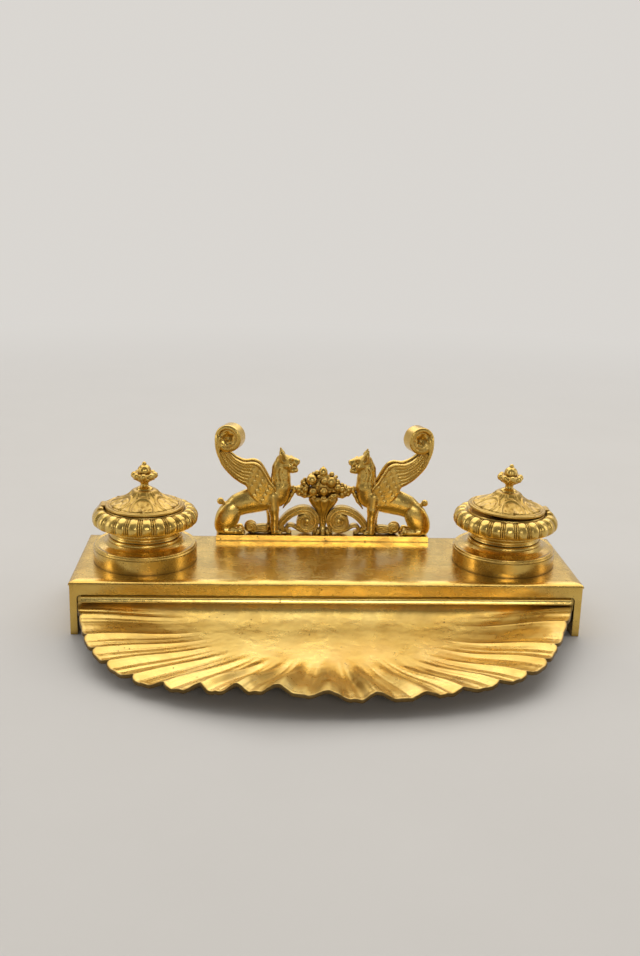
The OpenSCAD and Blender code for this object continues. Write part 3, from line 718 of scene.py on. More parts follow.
@dataclass(frozen=True)
class GiltBronze:
    """Fire-gilt bronze, bright on what the hand rubs, and brown in the hollows from settled dirt and painted
    shade.

    Attributes:
        name: the finish's name.
        gold: colour of the bright gilding.
        deep: colour of the gilding where it is thicker and redder.
        brown: colour of the dirt on open surfaces, of the pits, and of the hollows, where it is settled dirt
            and painted shade.
        shade_black: near-black painted shade in sharp inner corners and in the deepest parts of the mesh's
            hollow mask.
        rough: roughness of the bright gilding.
        worn: how much rougher the dull patches are.
        reach: how far the ambient occlusion reaches for the painted shade in hollows, in metres.
        seam: how wide the near-black painted shade lies in a sharp inner corner, in metres.
        soil: how much brown the open surfaces carry.
        grain: depth of the fine casting grain, in metres.
        dents: depth of the slow waves in the surface, in metres.
        edge: radius of the arrises, in metres.
    """

    name: str
    gold: Point = (0.80, 0.56, 0.15)
    deep: Point = (0.68, 0.43, 0.09)
    brown: Point = (0.20, 0.105, 0.02)
    shade_black: Point = (0.035, 0.02, 0.008)
    rough: float = 0.17
    worn: float = 0.16
    reach: float = 0.005
    seam: float = 0.0011
    soil: float = 0.2
    grain: float = 0.00006
    dents: float = 0.0004
    edge: float = 0.00025

    def material(self) -> bpy.types.Material:
        """The finish as a Blender material.

        Returns:
            The new material.
        """
        n = Nodes.material(self.name)
        cloud = n.noise(24, 5, 0.6, distort=0.4)
        patch = n.ramp(n.noise(75, 7, 0.65, distort=0.6), 0.42, 0.68)
        fine = n.noise(420, 5, 0.6)
        colour = n.mix(n.ramp(cloud, 0.32, 0.66), self.gold, self.deep)
        rubbed = n.maths("MULTIPLY", patch, n.ramp(fine, 0.3, 0.65, 0.2, 1))
        colour = n.mix(n.maths("MULTIPLY", rubbed, self.soil), colour, self.brown)
        # Brown in the hollows from ambient occlusion and the mesh's hollow mask: partly settled dirt, partly
        # painted shade.
        shade = n.add("ShaderNodeAmbientOcclusion", Distance=self.reach)
        shade.samples = 8
        hollow = n.ramp(shade.outputs["AO"], 0.32, 0.86, 1, 0)
        carved = n.add("ShaderNodeAttribute")
        carved.attribute_name = "hollow"
        hollow = n.maths("MAXIMUM", hollow, carved.outputs["Fac"])
        hollow = n.maths("MULTIPLY", hollow, n.ramp(fine, 0.2, 0.7, 0.65, 1))
        colour = n.mix(n.maths("MULTIPLY", hollow, 0.85), colour, self.brown)
        # Painted shade: the deepest parts of the mesh's hollow mask go towards near-black.
        colour = n.mix(n.ramp(carved.outputs["Fac"], 0.72, 1.0, 0, 0.6), colour, self.shade_black)
        # Painted shade: a short ambient occlusion lays near-black lines in sharp inner corners and along
        # contact seams.
        corner = n.add("ShaderNodeAmbientOcclusion", Distance=self.seam)
        corner.samples = 6
        colour = n.mix(n.ramp(corner.outputs["AO"], 0.34, 0.66, 0.9, 0), colour, self.shade_black)
        specks = n.add("ShaderNodeTexVoronoi", Vector=n.place(), Scale=330.0)
        speck = n.ramp(specks.outputs["Distance"], 0.1, 0.17, 1, 0)
        speck = n.maths("MULTIPLY", speck, n.ramp(n.noise(120, 2), 0.56, 0.62))
        colour = n.mix(speck, colour, self.brown)
        scratch = n.noise(1500, 2, 0.5, (0.06, 1, 0.4), 0.2)
        rough = n.maths("ADD", n.ramp(patch, 0, 1, self.rough, self.rough + self.worn),
                        n.ramp(scratch, 0.35, 0.75, 0, 0.07))
        rough = n.maths("ADD", rough, n.maths("MULTIPLY", hollow, 0.25))
        edge = n.add("ShaderNodeBevel", Radius=self.edge)
        edge.samples = 4
        normal = n.bump(n.noise(38, 3, 0.5), self.dents, normal=edge.outputs[0])
        normal = n.bump(n.maths("ADD", fine, n.maths("MULTIPLY", speck, -2.0)), self.grain, normal=normal)
        return n.finish(n.add("ShaderNodeBsdfPrincipled", Base_Color=colour, Metallic=1.0, Roughness=rough,
                              Normal=normal, Coat_Weight=0.3, Coat_Roughness=0.14, Coat_IOR=1.5))


@dataclass(frozen=True)
class DullBrass:
    """Plain brass of screws, nuts and pins, gone brown.

    Attributes:
        name: the finish's name.
        metal: colour of the metal.
        tarnish: colour of its tarnish.
    """

    name: str
    metal: Point = (0.42, 0.27, 0.09)
    tarnish: Point = (0.07, 0.042, 0.018)

    def material(self) -> bpy.types.Material:
        """The finish as a Blender material.

        Returns:
            The new material.
        """
        n = Nodes.material(self.name)
        patch = n.ramp(n.noise(500, 5, 0.6), 0.35, 0.65)
        colour = n.mix(patch, self.metal, self.tarnish)
        normal = n.bump(n.noise(1800, 3), 0.00005)
        return n.finish(n.add("ShaderNodeBsdfPrincipled", Base_Color=colour, Metallic=0.9,
                              Roughness=n.ramp(patch, 0, 1, 0.32, 0.55), Normal=normal))


@dataclass(frozen=True)
class PressedGlass:
    """Old clear glass with a faint green cast and slow waves.

    Attributes:
        name: the finish's name.
        tint, deep: the two colours of the glass.
    """

    name: str
    tint: Point = (0.86, 0.94, 0.9)
    deep: Point = (0.78, 0.9, 0.85)

    def material(self) -> bpy.types.Material:
        """The finish as a Blender material.

        Returns:
            The new material.
        """
        n = Nodes.material(self.name)
        wave = n.noise(90, 3)
        return n.finish(n.add("ShaderNodeBsdfPrincipled", Base_Color=n.mix(wave, self.tint, self.deep),
                              Roughness=n.ramp(wave, 0.3, 0.7, 0.03, 0.09),
                              Normal=n.bump(wave, 0.0003), IOR=1.5, Transmission_Weight=1.0))


Finish = GiltBronze | DullBrass | PressedGlass

PLAIN = GiltBronze("gilt_bronze_plain")
# Painted light: the tray's gold is brighter than the plain gilding, to brighten its highlights.
TRAY = GiltBronze("gilt_bronze_tray", gold=(0.84, 0.61, 0.18), rough=0.24, worn=0.16, soil=0.16,
                  dents=0.001, reach=0.004)
CHASED = GiltBronze("gilt_bronze_chased", rough=0.21, worn=0.14, soil=0.16, dents=0.0001, edge=0.00015,
                    reach=0.0022, seam=0.0007, grain=0.00004)
# Painted light: gold and deep are brighter than the plain gilding, for the moulding and plinth that catch the
# lamps; the low roughness is the burnish.
BURNISHED_LIT = GiltBronze("gilt_bronze_burnished_lit", gold=(0.83, 0.61, 0.19), deep=(0.76, 0.52, 0.14),
                       rough=0.13, worn=0.08, soil=0.06, dents=0.0003, reach=0.0006, seam=0.0005)
# Painted shade: the lids' gold and deep are darker than the plain gilding, standing for less light on them;
# the higher roughness is the matted finish.
MATTED_SHADED = GiltBronze("gilt_bronze_matted_shaded", gold=(0.63, 0.42, 0.105), deep=(0.54, 0.33, 0.065), rough=0.3,
                    worn=0.12, soil=0.3, dents=0.0001, edge=0.00015, reach=0.0024, seam=0.0008,
                    grain=0.00005)
FIXINGS = DullBrass("dull_brass")
GLASS = PressedGlass("pressed_glass")


class Bench:
    """Turns shapes into pieces of the scene, each with its finish and body.

    Attributes:
        made: the materials made so far, by name.
        NEAR, WIDE: how often points are eased to find narrow and wide hollows.
        WIDE_SHARE: how much a wide hollow counts beside a narrow one.
    """

    made: dict[str, bpy.types.Material] = {}
    NEAR, WIDE, WIDE_SHARE = 3, 10, 0.6

    @classmethod
    def finish(cls, finish: Finish) -> bpy.types.Material:
        """The material of a finish, made once.

        Args:
            finish: the finish.

        Returns:
            Its material.
        """
        if finish.name not in cls.made:
            cls.made[finish.name] = finish.material()
        return cls.made[finish.name]

    @classmethod
    def dress(cls, node: str, finish: Finish) -> None:
        """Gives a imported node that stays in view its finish.

        Args:
            node: name of the node.
            finish: its finish.
        """
        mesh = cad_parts[node].data
        mesh.materials.clear()
        mesh.materials.append(cls.finish(finish))
        log.info("node %s dressed as %s", node, finish.name)

    @classmethod
    def piece(cls, name: str, shape: Shape, finish: Finish, body: str,
              replaces: Sequence[str] = (), sharp: float = 40, hollow: Array | None = None) -> None:
        """Makes a piece.

        Args:
            name: the piece's name.
            shape: its points and faces, in millimetres.
            finish: its finish.
            body: the body that it rides on.
            replaces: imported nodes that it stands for.
            sharp: edges that turn by more than this many degrees stay sharp.
            hollow: how deep in a hollow each point lies, from 0 to 1.
        """
        loops = np.concatenate([f.ravel() for f in shape.faces])
        totals = np.concatenate([np.full(len(f), f.shape[1]) for f in shape.faces])
        mesh = bpy.data.meshes.new(name)
        mesh.vertices.add(len(shape.points))
        mesh.vertices.foreach_set("co", (shape.points * MM).astype(np.float32).ravel())
        mesh.loops.add(len(loops))
        mesh.loops.foreach_set("vertex_index", loops.astype(np.int32))
        mesh.polygons.add(len(totals))
        mesh.polygons.foreach_set("loop_start", (np.cumsum(totals) - totals).astype(np.int32))
        mesh.update(calc_edges=True)
        mesh.validate()
        if hollow is not None:
            layer = mesh.attributes.new("hollow", "FLOAT", "POINT")
            layer.data.foreach_set("value", hollow.astype(np.float32))
        mesh.shade_smooth()
        mesh.set_sharp_from_angle(angle=math.radians(sharp))
        mesh.materials.append(cls.finish(finish))
        piece = bpy.data.objects.new(name, mesh)
        bpy.context.scene.collection.objects.link(piece)
        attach(piece, body)
        if replaces:
            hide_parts(*replaces)
        log.info("piece %s: %d points on %s", name, len(mesh.vertices), body)

    @classmethod
    def hollows(cls, shape: Shape, gain: float = 5.0) -> Array:
        """How deep in a hollow each point of a dense mesh lies, from 0 to 1.

        The points are eased a few times and many times, and what each of them gains outward counts.

        Args:
            shape: the mesh.
            gain: how much a millimetre of gain counts.

        Returns:
            One value for each point.
        """
        points, faces = shape.points, shape.faces
        normal = np.zeros_like(points)
        for f in faces:
            cross = np.cross(points[f[:, 2]] - points[f[:, 0]], points[f[:, -1]] - points[f[:, 1]])
            for i in range(f.shape[1]):
                for k in range(3):
                    normal[:, k] += np.bincount(f[:, i], cross[:, k], len(points))
        normal /= np.maximum(np.linalg.norm(normal, axis=1, keepdims=True), 1e-9)
        eased, found = points, np.zeros(len(points))
        for step in range(1, cls.WIDE + 1):
            eased = neighbour_mean(eased, faces)
            if step in (cls.NEAR, cls.WIDE):
                lift = ((eased - points) * normal).sum(1)
                found = np.maximum(found, lift * gain * (1.0 if step == cls.NEAR else cls.WIDE_SHARE))
        return np.clip(neighbour_mean(found[:, None], faces)[:, 0], 0, 1)


# ---------- casing and tray ----------


@dataclass
class Casing:
    """The box-like casing that carries everything.

    Attributes:
        depth: its size along Y.
        middle: its middle along Y.
        mouth_r: radius of the corners of its open front.
    """

    depth: float = 93
    middle: float = 55
    mouth_r: float = 2.5

    @property
    def front(self) -> float:
        """Front face, along Y."""
        return self.middle - self.depth / 2

    def build(self) -> None:
        """Dresses the casing and its screws."""
        Bench.dress("casing", PLAIN)
        for node in ("tray_screws", "drum_screws", "plinth_nuts"):
            Bench.dress(node, FIXINGS)


@dataclass
class ShellTray:
    """The scallop-shell pen tray, with the upright back that closes the casing's mouth.

    The lobes are troughs whose lip bulges out, and the ridges between them run to narrow cusps. Lobes are
    numbered from the left end; those round the widest one are the broad lobes of the middle.

    Attributes:
        casing: the casing whose mouth the back closes.
        half_w: half width of the fan.
        side_gap: room that the casing's mouth leaves beside the fan.
        reach: how far the fan comes forward.
        power: how square its outline is; 2 is round.
        floor, thick: height of the basin's floor, and thickness of the cast.
        lip_rise, end_rise: how far the lip rises, and how much more it does at both ends.
        back_top, fillet_h: top of the upright back, and height of the moulding along it.
        ridges: where each ridge meets the lip, as shares of the half width.
        crests: how tall each ridge is at the lip.
        notches: how far each ridge's end is drawn in, as shares of the reach.
        end_crest: how tall the two ends of the fan are.
        lift_at, lift: how much higher or lower the lip runs, along X.
        pull_at: distances from the back at which the next two hold.
        pull_left, pull_right: how far each end of the outline is drawn in.
        dish_h, dish_d: height of the dish against the back, and how soon it falls away.
        cove, cove_d: height of the back's foot, and how soon its cove falls away.
        sunk: the share of the dish by which the ends of the fan are lowered.
        crest_w, crest_more: half width of a ridge in shares of its lobe, and what the broad lobes add.
        widest, spread: the lobe round which the broad ones lie, and how many lobes away they narrow.
        notch_side: depth of the notches away from the broad lobes.
        flute_start, flute_run: where the flutes begin, and over how much of the way they grow full.
        flute_early: how much sooner those of the broad lobes begin.
        rise_power: how hollow the rise to the lip is.
        ripple: height of the fine ripples in a lobe.
        bead: height of the bead along the lip.
        streak: height of the uneven streaks.
        bunch: how much closer the mesh lies at the ends.
        lip_turns, lip_out: angles of the points round the lip's edge, in degrees, and how far it bulges.
        lip_dull, under_dull: how far the lip's edge and the underside are darkened towards brown and
            near-black, from 0 to 1: painted shade along and under the lip.
        flange_d: how far the flange reaches back.
        turns, rays: points round the fan, and points from its middle to the lip.
    """

    casing: Casing
    half_w: float = 154.2
    side_gap: float = 0.8
    reach: float = 111
    power: float = 2.2
    floor: float = 4.8
    thick: float = 2.4
    cove: float = 15.9
    lip_rise: float = 6
    end_rise: float = 2.5
    back_top: float = 25.9
    fillet_h: float = 5.2
    ridges: Row = (-0.996, -0.96, -0.914, -0.85, -0.746, -0.629, -0.493, -0.363, -0.22, -0.039, 0.13, 0.305,
                   0.441, 0.584, 0.707, 0.824, 0.914, 0.985)
    crests: Row = (0.8, 0.9, 1.0, 1.3, 1.8, 2.2, 3.9, 4.1, 4.6, 3.6, 4.0, 2.4, 1.8, 1.7, 1.3, 1.2, 1.0, 0.8)
    notches: Row = (0.012, 0.018, 0.024, 0.028, 0.03, 0.026, 0.022, 0.02, 0.013, 0.012, 0.014, 0.014, 0.018,
                    0.022, 0.022, 0.024, 0.024, 0.014)
    end_crest: float = 0.6
    lift_at: Row = (-154, -145, -130, -114, -104, -88, -63, -42, -24, -12, 11, 33, 61, 101, 119, 130, 142,
                    154)
    lift: Row = (3.5, 2.5, -0.8, -3.0, -2.6, -1.2, 1.8, 4.0, 3.6, 2.4, 0.6, 0.4, 1.4, 1.8, 2.8, 4.2, 5.5,
                 5.5)
    pull_at: Row = (0, 10, 26, 34, 58, 77, 92)
    pull_left: Row = (0, 1.5, 3.2, 2.6, 1.2, 0, 0)
    pull_right: Row = (1.0, 3.8, 7.7, 9.6, 8.4, 2.5, 0)
    dish_h: float = 12
    dish_d: float = 25
    cove_d: float = 4
    sunk: float = 0.75
    widest: float = 9.8
    spread: float = 4.2
    crest_w: float = 0.26
    crest_more: float = 0.22
    notch_side: float = 0.85
    flute_start: float = 0.5
    flute_run: float = 0.42
    flute_early: float = 0.06
    rise_power: float = 1.3
    ripple: float = 0.3
    bead: float = 0.25
    streak: float = 0.07
    bunch: float = 0.03
    lip_turns: Row = (60, 30, 0, -30, -60)
    lip_out: float = 0.6
    lip_dull: Row = (0.6, 1.0, 1.0, 1.0, 1.0, 1.0)
    under_dull: float = 0.9
    flange_d: float = 12
    turns: int = 1100
    rays: int = 124

    @property
    def wall_y(self) -> float:
        """Front face of the upright back."""
        return self.casing.front + 1

    def lip(self, turn: Array) -> Array:
        """Plain outline of the lip at a turn in radians, seen from above.

        Args:
            turn: angles round the fan.

        Returns:
            x and y of each place, from the middle of the back.
        """
        k = 2 / self.power
        c, s = np.cos(turn), np.clip(np.sin(turn), 0, None)
        x, depth = -np.sign(c) * np.abs(c) ** k * self.half_w, s**k * self.reach
        pull = np.where(x < 0, -np.interp(depth, self.pull_at, self.pull_left),
                        np.interp(depth, self.pull_at, self.pull_right))
        return np.stack([x - pull, -depth], -1)

    def lobe(self, turn: Array) -> tuple[Array, Array]:
        """The lobe a turn lies in, as a running number, and how near it is to a ridge (0 to 1).

        Args:
            turn: angles round the fan.

        Returns:
            The number and the nearness.
        """
        share = np.array(self.ridges)
        cusps = np.r_[0, np.arccos(-np.sign(share) * np.abs(share) ** (self.power / 2)), math.pi]
        number = np.interp(turn, cusps, np.arange(len(cusps)))
        whole = np.clip(np.floor(number), 0, len(cusps) - 2)
        return number, np.abs(2 * (number - whole) - 1)

    def face(self, turn: Array, s: Array) -> Array:
        """Points of the upper face at a turn and a share s of the way to the lip.

        Args:
            turn: angles round the fan.
            s: shares of the way.

        Returns:
            The points.
        """
        number, beside = self.lobe(turn)
        wide = bell(number, self.widest, self.spread)
        nearest = np.arange(len(self.ridges) + 2)
        crest = bell(beside, 1, self.crest_w + self.crest_more * wide)
        inward = np.interp(np.round(number), nearest, np.r_[0, self.notches, 0]) * rising(s, 0.35, 0.6)
        inward = inward * (crest * wide + self.notch_side * beside**7 * (1 - wide))
        outline = self.lip(turn)
        flat = outline * (s * (1 - inward))[..., None]
        d = -flat[..., 1]
        dish = np.exp(-d / self.dish_d)
        cove = self.dish_h * dish + (self.cove - self.dish_h) * np.exp(-d / self.cove_d)
        flute = smooth_step((s - self.flute_start + self.flute_early * wide) / self.flute_run)
        tall = np.interp(np.round(number), nearest, np.r_[self.end_crest, self.crests, self.end_crest])
        rise = self.lip_rise + np.interp(outline[..., 0], self.lift_at, self.lift)
        rise = rise + self.end_rise * (1 - smooth_step(d / 50)) - self.sunk * self.dish_h * dish
        height = rise * rising(s, self.flute_start, 0.5) ** self.rise_power + tall * crest * flute
        height = height + self.ripple * np.cos(math.pi * 3 * beside) * flute * (1 - crest) * (0.25 + wide)
        height = height + self.bead * rising(s, 0.97, 0.03)
        streak = self.streak * np.cos(number * 31 + 2 * np.cos(number * 9)) * flute * (0.6 + wide)
        z = self.floor + cove + (height + streak) * rising(d, -4, 12)
        return np.concatenate([flat, z[..., None]], -1) + np.array([0, self.wall_y, 0])

    def basin(self) -> Shape:
        """The fluted basin with its upper and lower faces and rounded lip.

        Returns:
            The basin.
        """
        grow = np.linspace(0, 1, self.turns)
        turn = math.pi * (grow - self.bunch * np.sin(TAU * grow))
        s = np.r_[0.001, 0.012, np.linspace(0.025, 0.2, 26), np.linspace(0.21, 1, self.rays - 28)]
        t, r = np.meshgrid(turn, s, indexing="ij")
        top = self.face(t, r)
        low = top - np.array([0, 0, self.thick])
        lip = []
        out = top[:, -1] - top[:, -2]
        out[:, 2] = 0
        out /= np.maximum(np.linalg.norm(out, axis=1, keepdims=True), 1e-9)
        for angle in np.radians(self.lip_turns):
            lip.append(top[:, -1] + out * self.lip_out * math.cos(angle)
                       + np.array([0, 0, 1]) * (self.thick / 2) * (math.sin(angle) - 1))
        rows = np.concatenate([top, np.stack(lip, 1), low[:, ::-1]], 1)
        n = rows.shape[1]
        return Shape(rows.reshape(-1, 3), [grid_faces(self.turns, n)])

    def back(self) -> tuple[Shape, Shape]:
        """The upright back with the flange behind it, and the moulding along its top.

        Returns:
            The back with its flange, and the moulding.
        """
        w = self.half_w + self.side_gap - 0.3
        low, top, r = self.floor + self.cove - self.thick - 1, self.back_top, self.casing.mouth_r
        outline = np.vstack([[[-w, low], [w, low]], arc((w - r, top - r), r, 0, 90),
                             arc((r - w, top - r), r, 90, 180)])
        plate = prism(outline, self.wall_y, self.wall_y + self.thick, "y", 0.2)
        h = self.fillet_h
        bead = np.array([[1, 0], [1, h], [0, h], [-1.2, h - 0.1], [-1.9, h - 0.35], [-2.3, h - 0.75],
                         [-2.75, h - 1.7], [-3.15, h - 2.6], [-3.4, h - 3.3], [-3.3, h - 3.65],
                         [-2.9, h - 3.85], [-1.6, h - 4.2], [-0.4, h - 4.7], [0, 0]])
        bead = bead + np.array([self.wall_y, top - h])
        flange = np.array([[0, 0], [self.flange_d, 0], [self.flange_d, self.thick], [0, self.thick]])
        flange = prism(flange + np.array([self.wall_y, top - self.thick]), r - w, w - r, "x", 0.2)
        return Shape.joined([plate, flange]), prism(bead, r - w, w - r, "x", 0.0)

    def build(self) -> None:
        """Makes the tray; its lip's edge and its underside are darkened with painted shade."""
        basin, (back, moulding) = self.basin(), self.back()
        rows = len(basin.points) // self.turns
        # Painted shade: the lip's edge and the underside get the hollow mask, which darkens them towards
        # brown and near-black.
        dull = np.zeros(rows)
        dull[-self.rays:] = self.under_dull
        dull[self.rays - 1:-self.rays] = self.lip_dull
        dull = np.r_[np.tile(dull, self.turns), np.zeros(len(back.points))]
        Bench.piece("shell_tray_cast", Shape.joined([basin, back]), TRAY, BASE, replaces=["shell_tray"],
                    sharp=50, hollow=dull)
        Bench.piece("shell_tray_moulding", moulding, BURNISHED_LIT, BASE, sharp=50)


# ---------- inkwells ----------


@dataclass
class Inkwell:
    """One inkwell: a fixed drum, and a lift-out collar with its glass pot, lid and bud finial.

    Shapes are drawn round the well's own axis, with heights above the deck and the hinge at +X.

    Attributes:
        side: the end of the inkstand it stands at.
        x, y: place of its axis, X without its sign.
        deck: height of the deck.
        bore_r, seat: radius and height of the drum's bore, in which the collar sits.
        lid_seat: height at which the lid closes.
        ring_z, ring_under: height of the ring's middle, and how far its flat underside is below it.
        ring_r, tube_r: radii of the ring and of its section.
        gadroons, lobe_w, lobe_h: number of the ring's lobes, their width in shares, and their height.
        pot_bore, flange_bore: radii of the collar's bore, round the pot and round the pot's flange.
        hinge_out, hinge_z: place of the hinge's axis.
        knuckle_w, knuckle_r, lug_w: width and radius of the knuckle, and width of a lug.
        lid_r, lid_t, lid_h: radius, thickness and height of the lid.
        gap: room between the lid and its seat.
        lean, ajar: how far the right collar leans, and how far the right lid stands open, in degrees.
        panels, chasing: number of arched panels on the lid, and how deeply they are chased.
        panel_out, panel_w, panel_h: radius of a panel's foot, its half width and its height.
        steps: facets round the ring and the lid.
    """

    side: Side
    x: float = 117
    y: float = 51.7
    deck: float = 35.2
    bore_r: float = 20.6
    seat: float = 16.9
    lid_seat: float = 34.8
    ring_z: float = 28.6
    ring_under: float = 3.6
    ring_r: float = 27.5
    tube_r: float = 5.9
    gadroons: int = 24
    pot_bore: float = 17
    flange_bore: float = 19
    hinge_out: float = 27.3
    hinge_z: float = 34.0
    knuckle_w: float = 7.2
    knuckle_r: float = 2.2
    lug_w: float = 3.4
    lid_r: float = 25.1
    lid_t: float = 1.7
    lid_h: float = 11.8
    gap: float = 0.3
    lean: float = 0.5
    ajar: float = 2.5
    panels: int = 6
    chasing: float = 0.72
    lobe_w: float = 0.66
    lobe_h: float = 0.5
    panel_out: float = 21.6
    panel_w: float = 7.6
    panel_h: float = 11.4
    steps: int = 672

    def seated(self, shape: Shape) -> Shape:
        """A shape drawn with its hinge at +X, set on this side's drum.

        Args:
            shape: the shape as drawn.

        Returns:
            The shape in its place.
        """
        if self.side is Side.RIGHT:
            shape = shape.turned((self.bore_r, self.seat), self.lean)
        else:
            shape = shape.mirrored()
        return shape.moved(self.side.value * self.x, self.y, self.deck)

    def hinged(self, shape: Shape) -> Shape:
        """A shape of the lid, as far open as this side's lid stands.

        Args:
            shape: the shape as drawn, closed.

        Returns:
            The shape in its place.
        """
        if self.side is Side.RIGHT:
            shape = shape.turned((self.hinge_out, self.hinge_z), self.ajar)
        return self.seated(shape)

    def gadroon(self, spot: Array, angle: Array) -> Array:
        """Relief of the ring: long flat lobes with a thin fillet between each two.

        Args:
            spot: radius and height of the places on the section.
            angle: their angles round the axis.

        Returns:
            How far each place stands proud.
        """
        tube = np.degrees(np.arctan2(spot[..., 1] - self.ring_z, spot[..., 0] - self.ring_r))
        under = self.ring_z - self.ring_under
        on = rising(spot[..., 1] - under, 0.2, 0.9) * falling(tube, 104, 12) * (tube > -60)
        u = np.abs(2 * np.mod(angle * self.gadroons / TAU, 1.0) - 1)
        lobe = np.where(u < self.lobe_w, self.lobe_h * (1 - (u / self.lobe_w) ** 3), 0)
        lobe = lobe - 0.5 * bell(u, 0.69, 0.05)
        fillet = 0.3 * bell(u, 0.84, 0.07) - 0.45 * bell(u, 1, 0.05)
        hinge = rising(np.abs(np.angle(np.exp(1j * angle))) * self.ring_r, 6.4, 1.5)
        return (lobe + fillet) * on * hinge

    def ring(self) -> Shape:
        """The gadrooned ring, round above and flat below.

        Returns:
            The ring.
        """
        low = math.degrees(math.asin(self.ring_under / self.tube_r))
        tube = arc((self.ring_r, self.ring_z), self.tube_r, -low, 180 + low, 84)
        flat = np.linspace(tube[-1], tube[0], 12)[1:-1]
        return lathe(np.vstack([tube, flat]), self.steps, self.gadroon, closed=True)

    def collar(self) -> Shape:
        """The neck, spigot and seat of the collar, with the ring and the hinge lugs.

        Returns:
            The collar.
        """
        foot = self.seat + 0.2
        spigot_r = self.bore_r - 0.5
        section = np.vstack([
            [[self.pot_bore, self.seat - 4], [spigot_r, self.seat - 4], [spigot_r, foot], [22.6, foot]],
            curve([[22.4, foot + 0.4], [21.6, foot + 2], [22.6, foot + 3.6]], 6),
            arc((24.4, foot + 4.8), 0.9, -90, 90, 10),
            [[24.4, self.ring_z], [25.2, self.lid_seat - 1.2], [24.6, self.lid_seat],
             [self.flange_bore, self.lid_seat], [self.flange_bore, self.lid_seat - 2.4],
             [self.pot_bore, self.lid_seat - 2.4]],
        ])
        room = self.knuckle_w / 2 + 0.4
        shapes = [lathe(section, 160, closed=True), self.ring()]
        for s in (-1, 1):
            low, high = sorted((s * room, s * (room + self.lug_w)))
            r = self.knuckle_r + 0.1
            lug = np.vstack([[[-r, self.ring_z], [r, self.ring_z]], arc((0, self.hinge_z), r, 0, 180, 14)])
            shapes.append(prism(lug + np.array([self.hinge_out, 0]), low, high, "y", 0.3))
        return Shape.joined(shapes)

    def palmettes(self, spot: Array, angle: Array) -> Array:
        """Relief of the lid: arched fan panels with a blossom in each, and ribs that spring from the hub.

        Args:
            spot: radius and height of the places on the section.
            angle: their angles round the axis.

        Returns:
            How far each place stands proud.
        """
        radius = spot[..., 0]
        on = falling(radius, self.lid_r - 2.4, 0.5) * rising(radius, 7.2, 1.5)
        pitch = TAU / self.panels
        local = np.mod(angle, pitch) - pitch / 2
        across, back = local * radius, self.panel_out - radius
        e = np.sqrt((across / self.panel_w) ** 2 + (back / self.panel_h) ** 2)
        psi = np.arctan2(across, back)
        arch = 0.65 * bell(e, 1, 0.075) - 0.25 * bell(e, 0.88, 0.04)
        fan = 0.4 * np.abs(np.cos(4.5 * psi)) ** 0.8 * rising(e, 0.5, 0.1) * falling(e, 0.86, 0.06)
        bloom = 0.9 * np.clip(1 - (e / 0.48) ** 2, 0, None) * (0.6 + 0.4 * np.cos(5 * psi)) * (e < 0.48)
        bloom = bloom + 0.5 * bell(e, 0, 0.13)
        side = (np.abs(local) - pitch / 2) * radius + 0.8 * np.sin((radius - 8) / 2.2)
        rib = 0.55 * (bell(side, -0.9, 0.42) + bell(side, -2.3, 0.42)) * falling(radius, 19.5, 4)
        leaf = 0.45 * bell(side, 0, 1.2) * rising(radius, 14, 2) * falling(radius, 21.8, 1)
        below = spot[..., 1] < self.lid_seat + self.gap + 1.2
        groove = -0.4 * bell(radius, self.lid_r - 3.2, 0.3) - 0.25 * bell(radius, self.lid_r - 1.9, 0.22)
        relief = np.where(back > -0.6, np.where(e < 1.1, arch + fan + bloom, rib), 0) + leaf * (e > 1.05)
        return np.where(below, 0, relief * on * self.chasing + groove)

    def lid(self) -> Shape:
        """The domed lid with its knuckle.

        Returns:
            The lid, closed.
        """
        base = self.lid_seat + self.gap
        face = curve([[self.lid_r - 1.6, 1.7], [self.lid_r * 0.84, 2.7], [self.lid_r * 0.68, 4.4],
                      [self.lid_r * 0.5, 6.6], [self.lid_r * 0.38, 8.8], [self.lid_r * 0.3, self.lid_h - 0.5],
                      [self.lid_r * 0.24, self.lid_h]], 10)
        rim = arc((self.lid_r - 1, 1), 1, -90, 90, 10)
        upper = resample(np.vstack([rim, face, [[1.7, self.lid_h]]]), 0.24)
        lower = resample(np.vstack([[[1.7, self.lid_h - self.lid_t]],
                                    face[::-1] - np.array([0.4, self.lid_t]), [[self.lid_r - 3, 0]]]), 1.0)
        section = np.vstack([upper, lower]) + np.array([0, base])
        outer = np.arange(len(section))[:, None] < len(upper)
        dome = lathe(section, self.steps, lambda spot, angle: np.where(outer, self.palmettes(spot, angle), 0),
                     closed=True)
        arm = self.hinge_out - self.lid_r + 3
        half = self.knuckle_w / 2
        plate = np.array([[self.hinge_out - arm, base + 0.1], [self.hinge_out, base + 0.1],
                          [self.hinge_out, base + 1.6], [self.hinge_out - arm, base + 1.6]])
        knuckle = rod(self.knuckle_r, -half, half).moved(self.hinge_out, 0, self.hinge_z)
        return Shape.joined([dome, prism(plate, -half, half, "y", 0.2), knuckle])

    def finial(self) -> Shape:
        """The bud finial: foot, stem, a lobed cup with a ring of berries, the bud and its tip.

        Returns:
            The finial, on the closed lid.
        """
        base = self.lid_seat + self.gap + self.lid_h
        section = resample(np.vstack([
            [[1.5, -4.4], [1.5, 0], [5.6, 0]],
            curve([[5.2, 0.8], [4.2, 1.4], [2.9, 2.1], [2.6, 3.2], [2.9, 4.3], [4.0, 5.3], [6.0, 6.6],
                   [7.4, 7.9], [7.6, 9.2], [6.4, 10.2], [4.0, 10.6]], 8),
            arc((0, 11.9), 4.25, -24, 70, 18),
            arc((0, 16.4), 1.5, -20, 88, 10)]), 0.26)

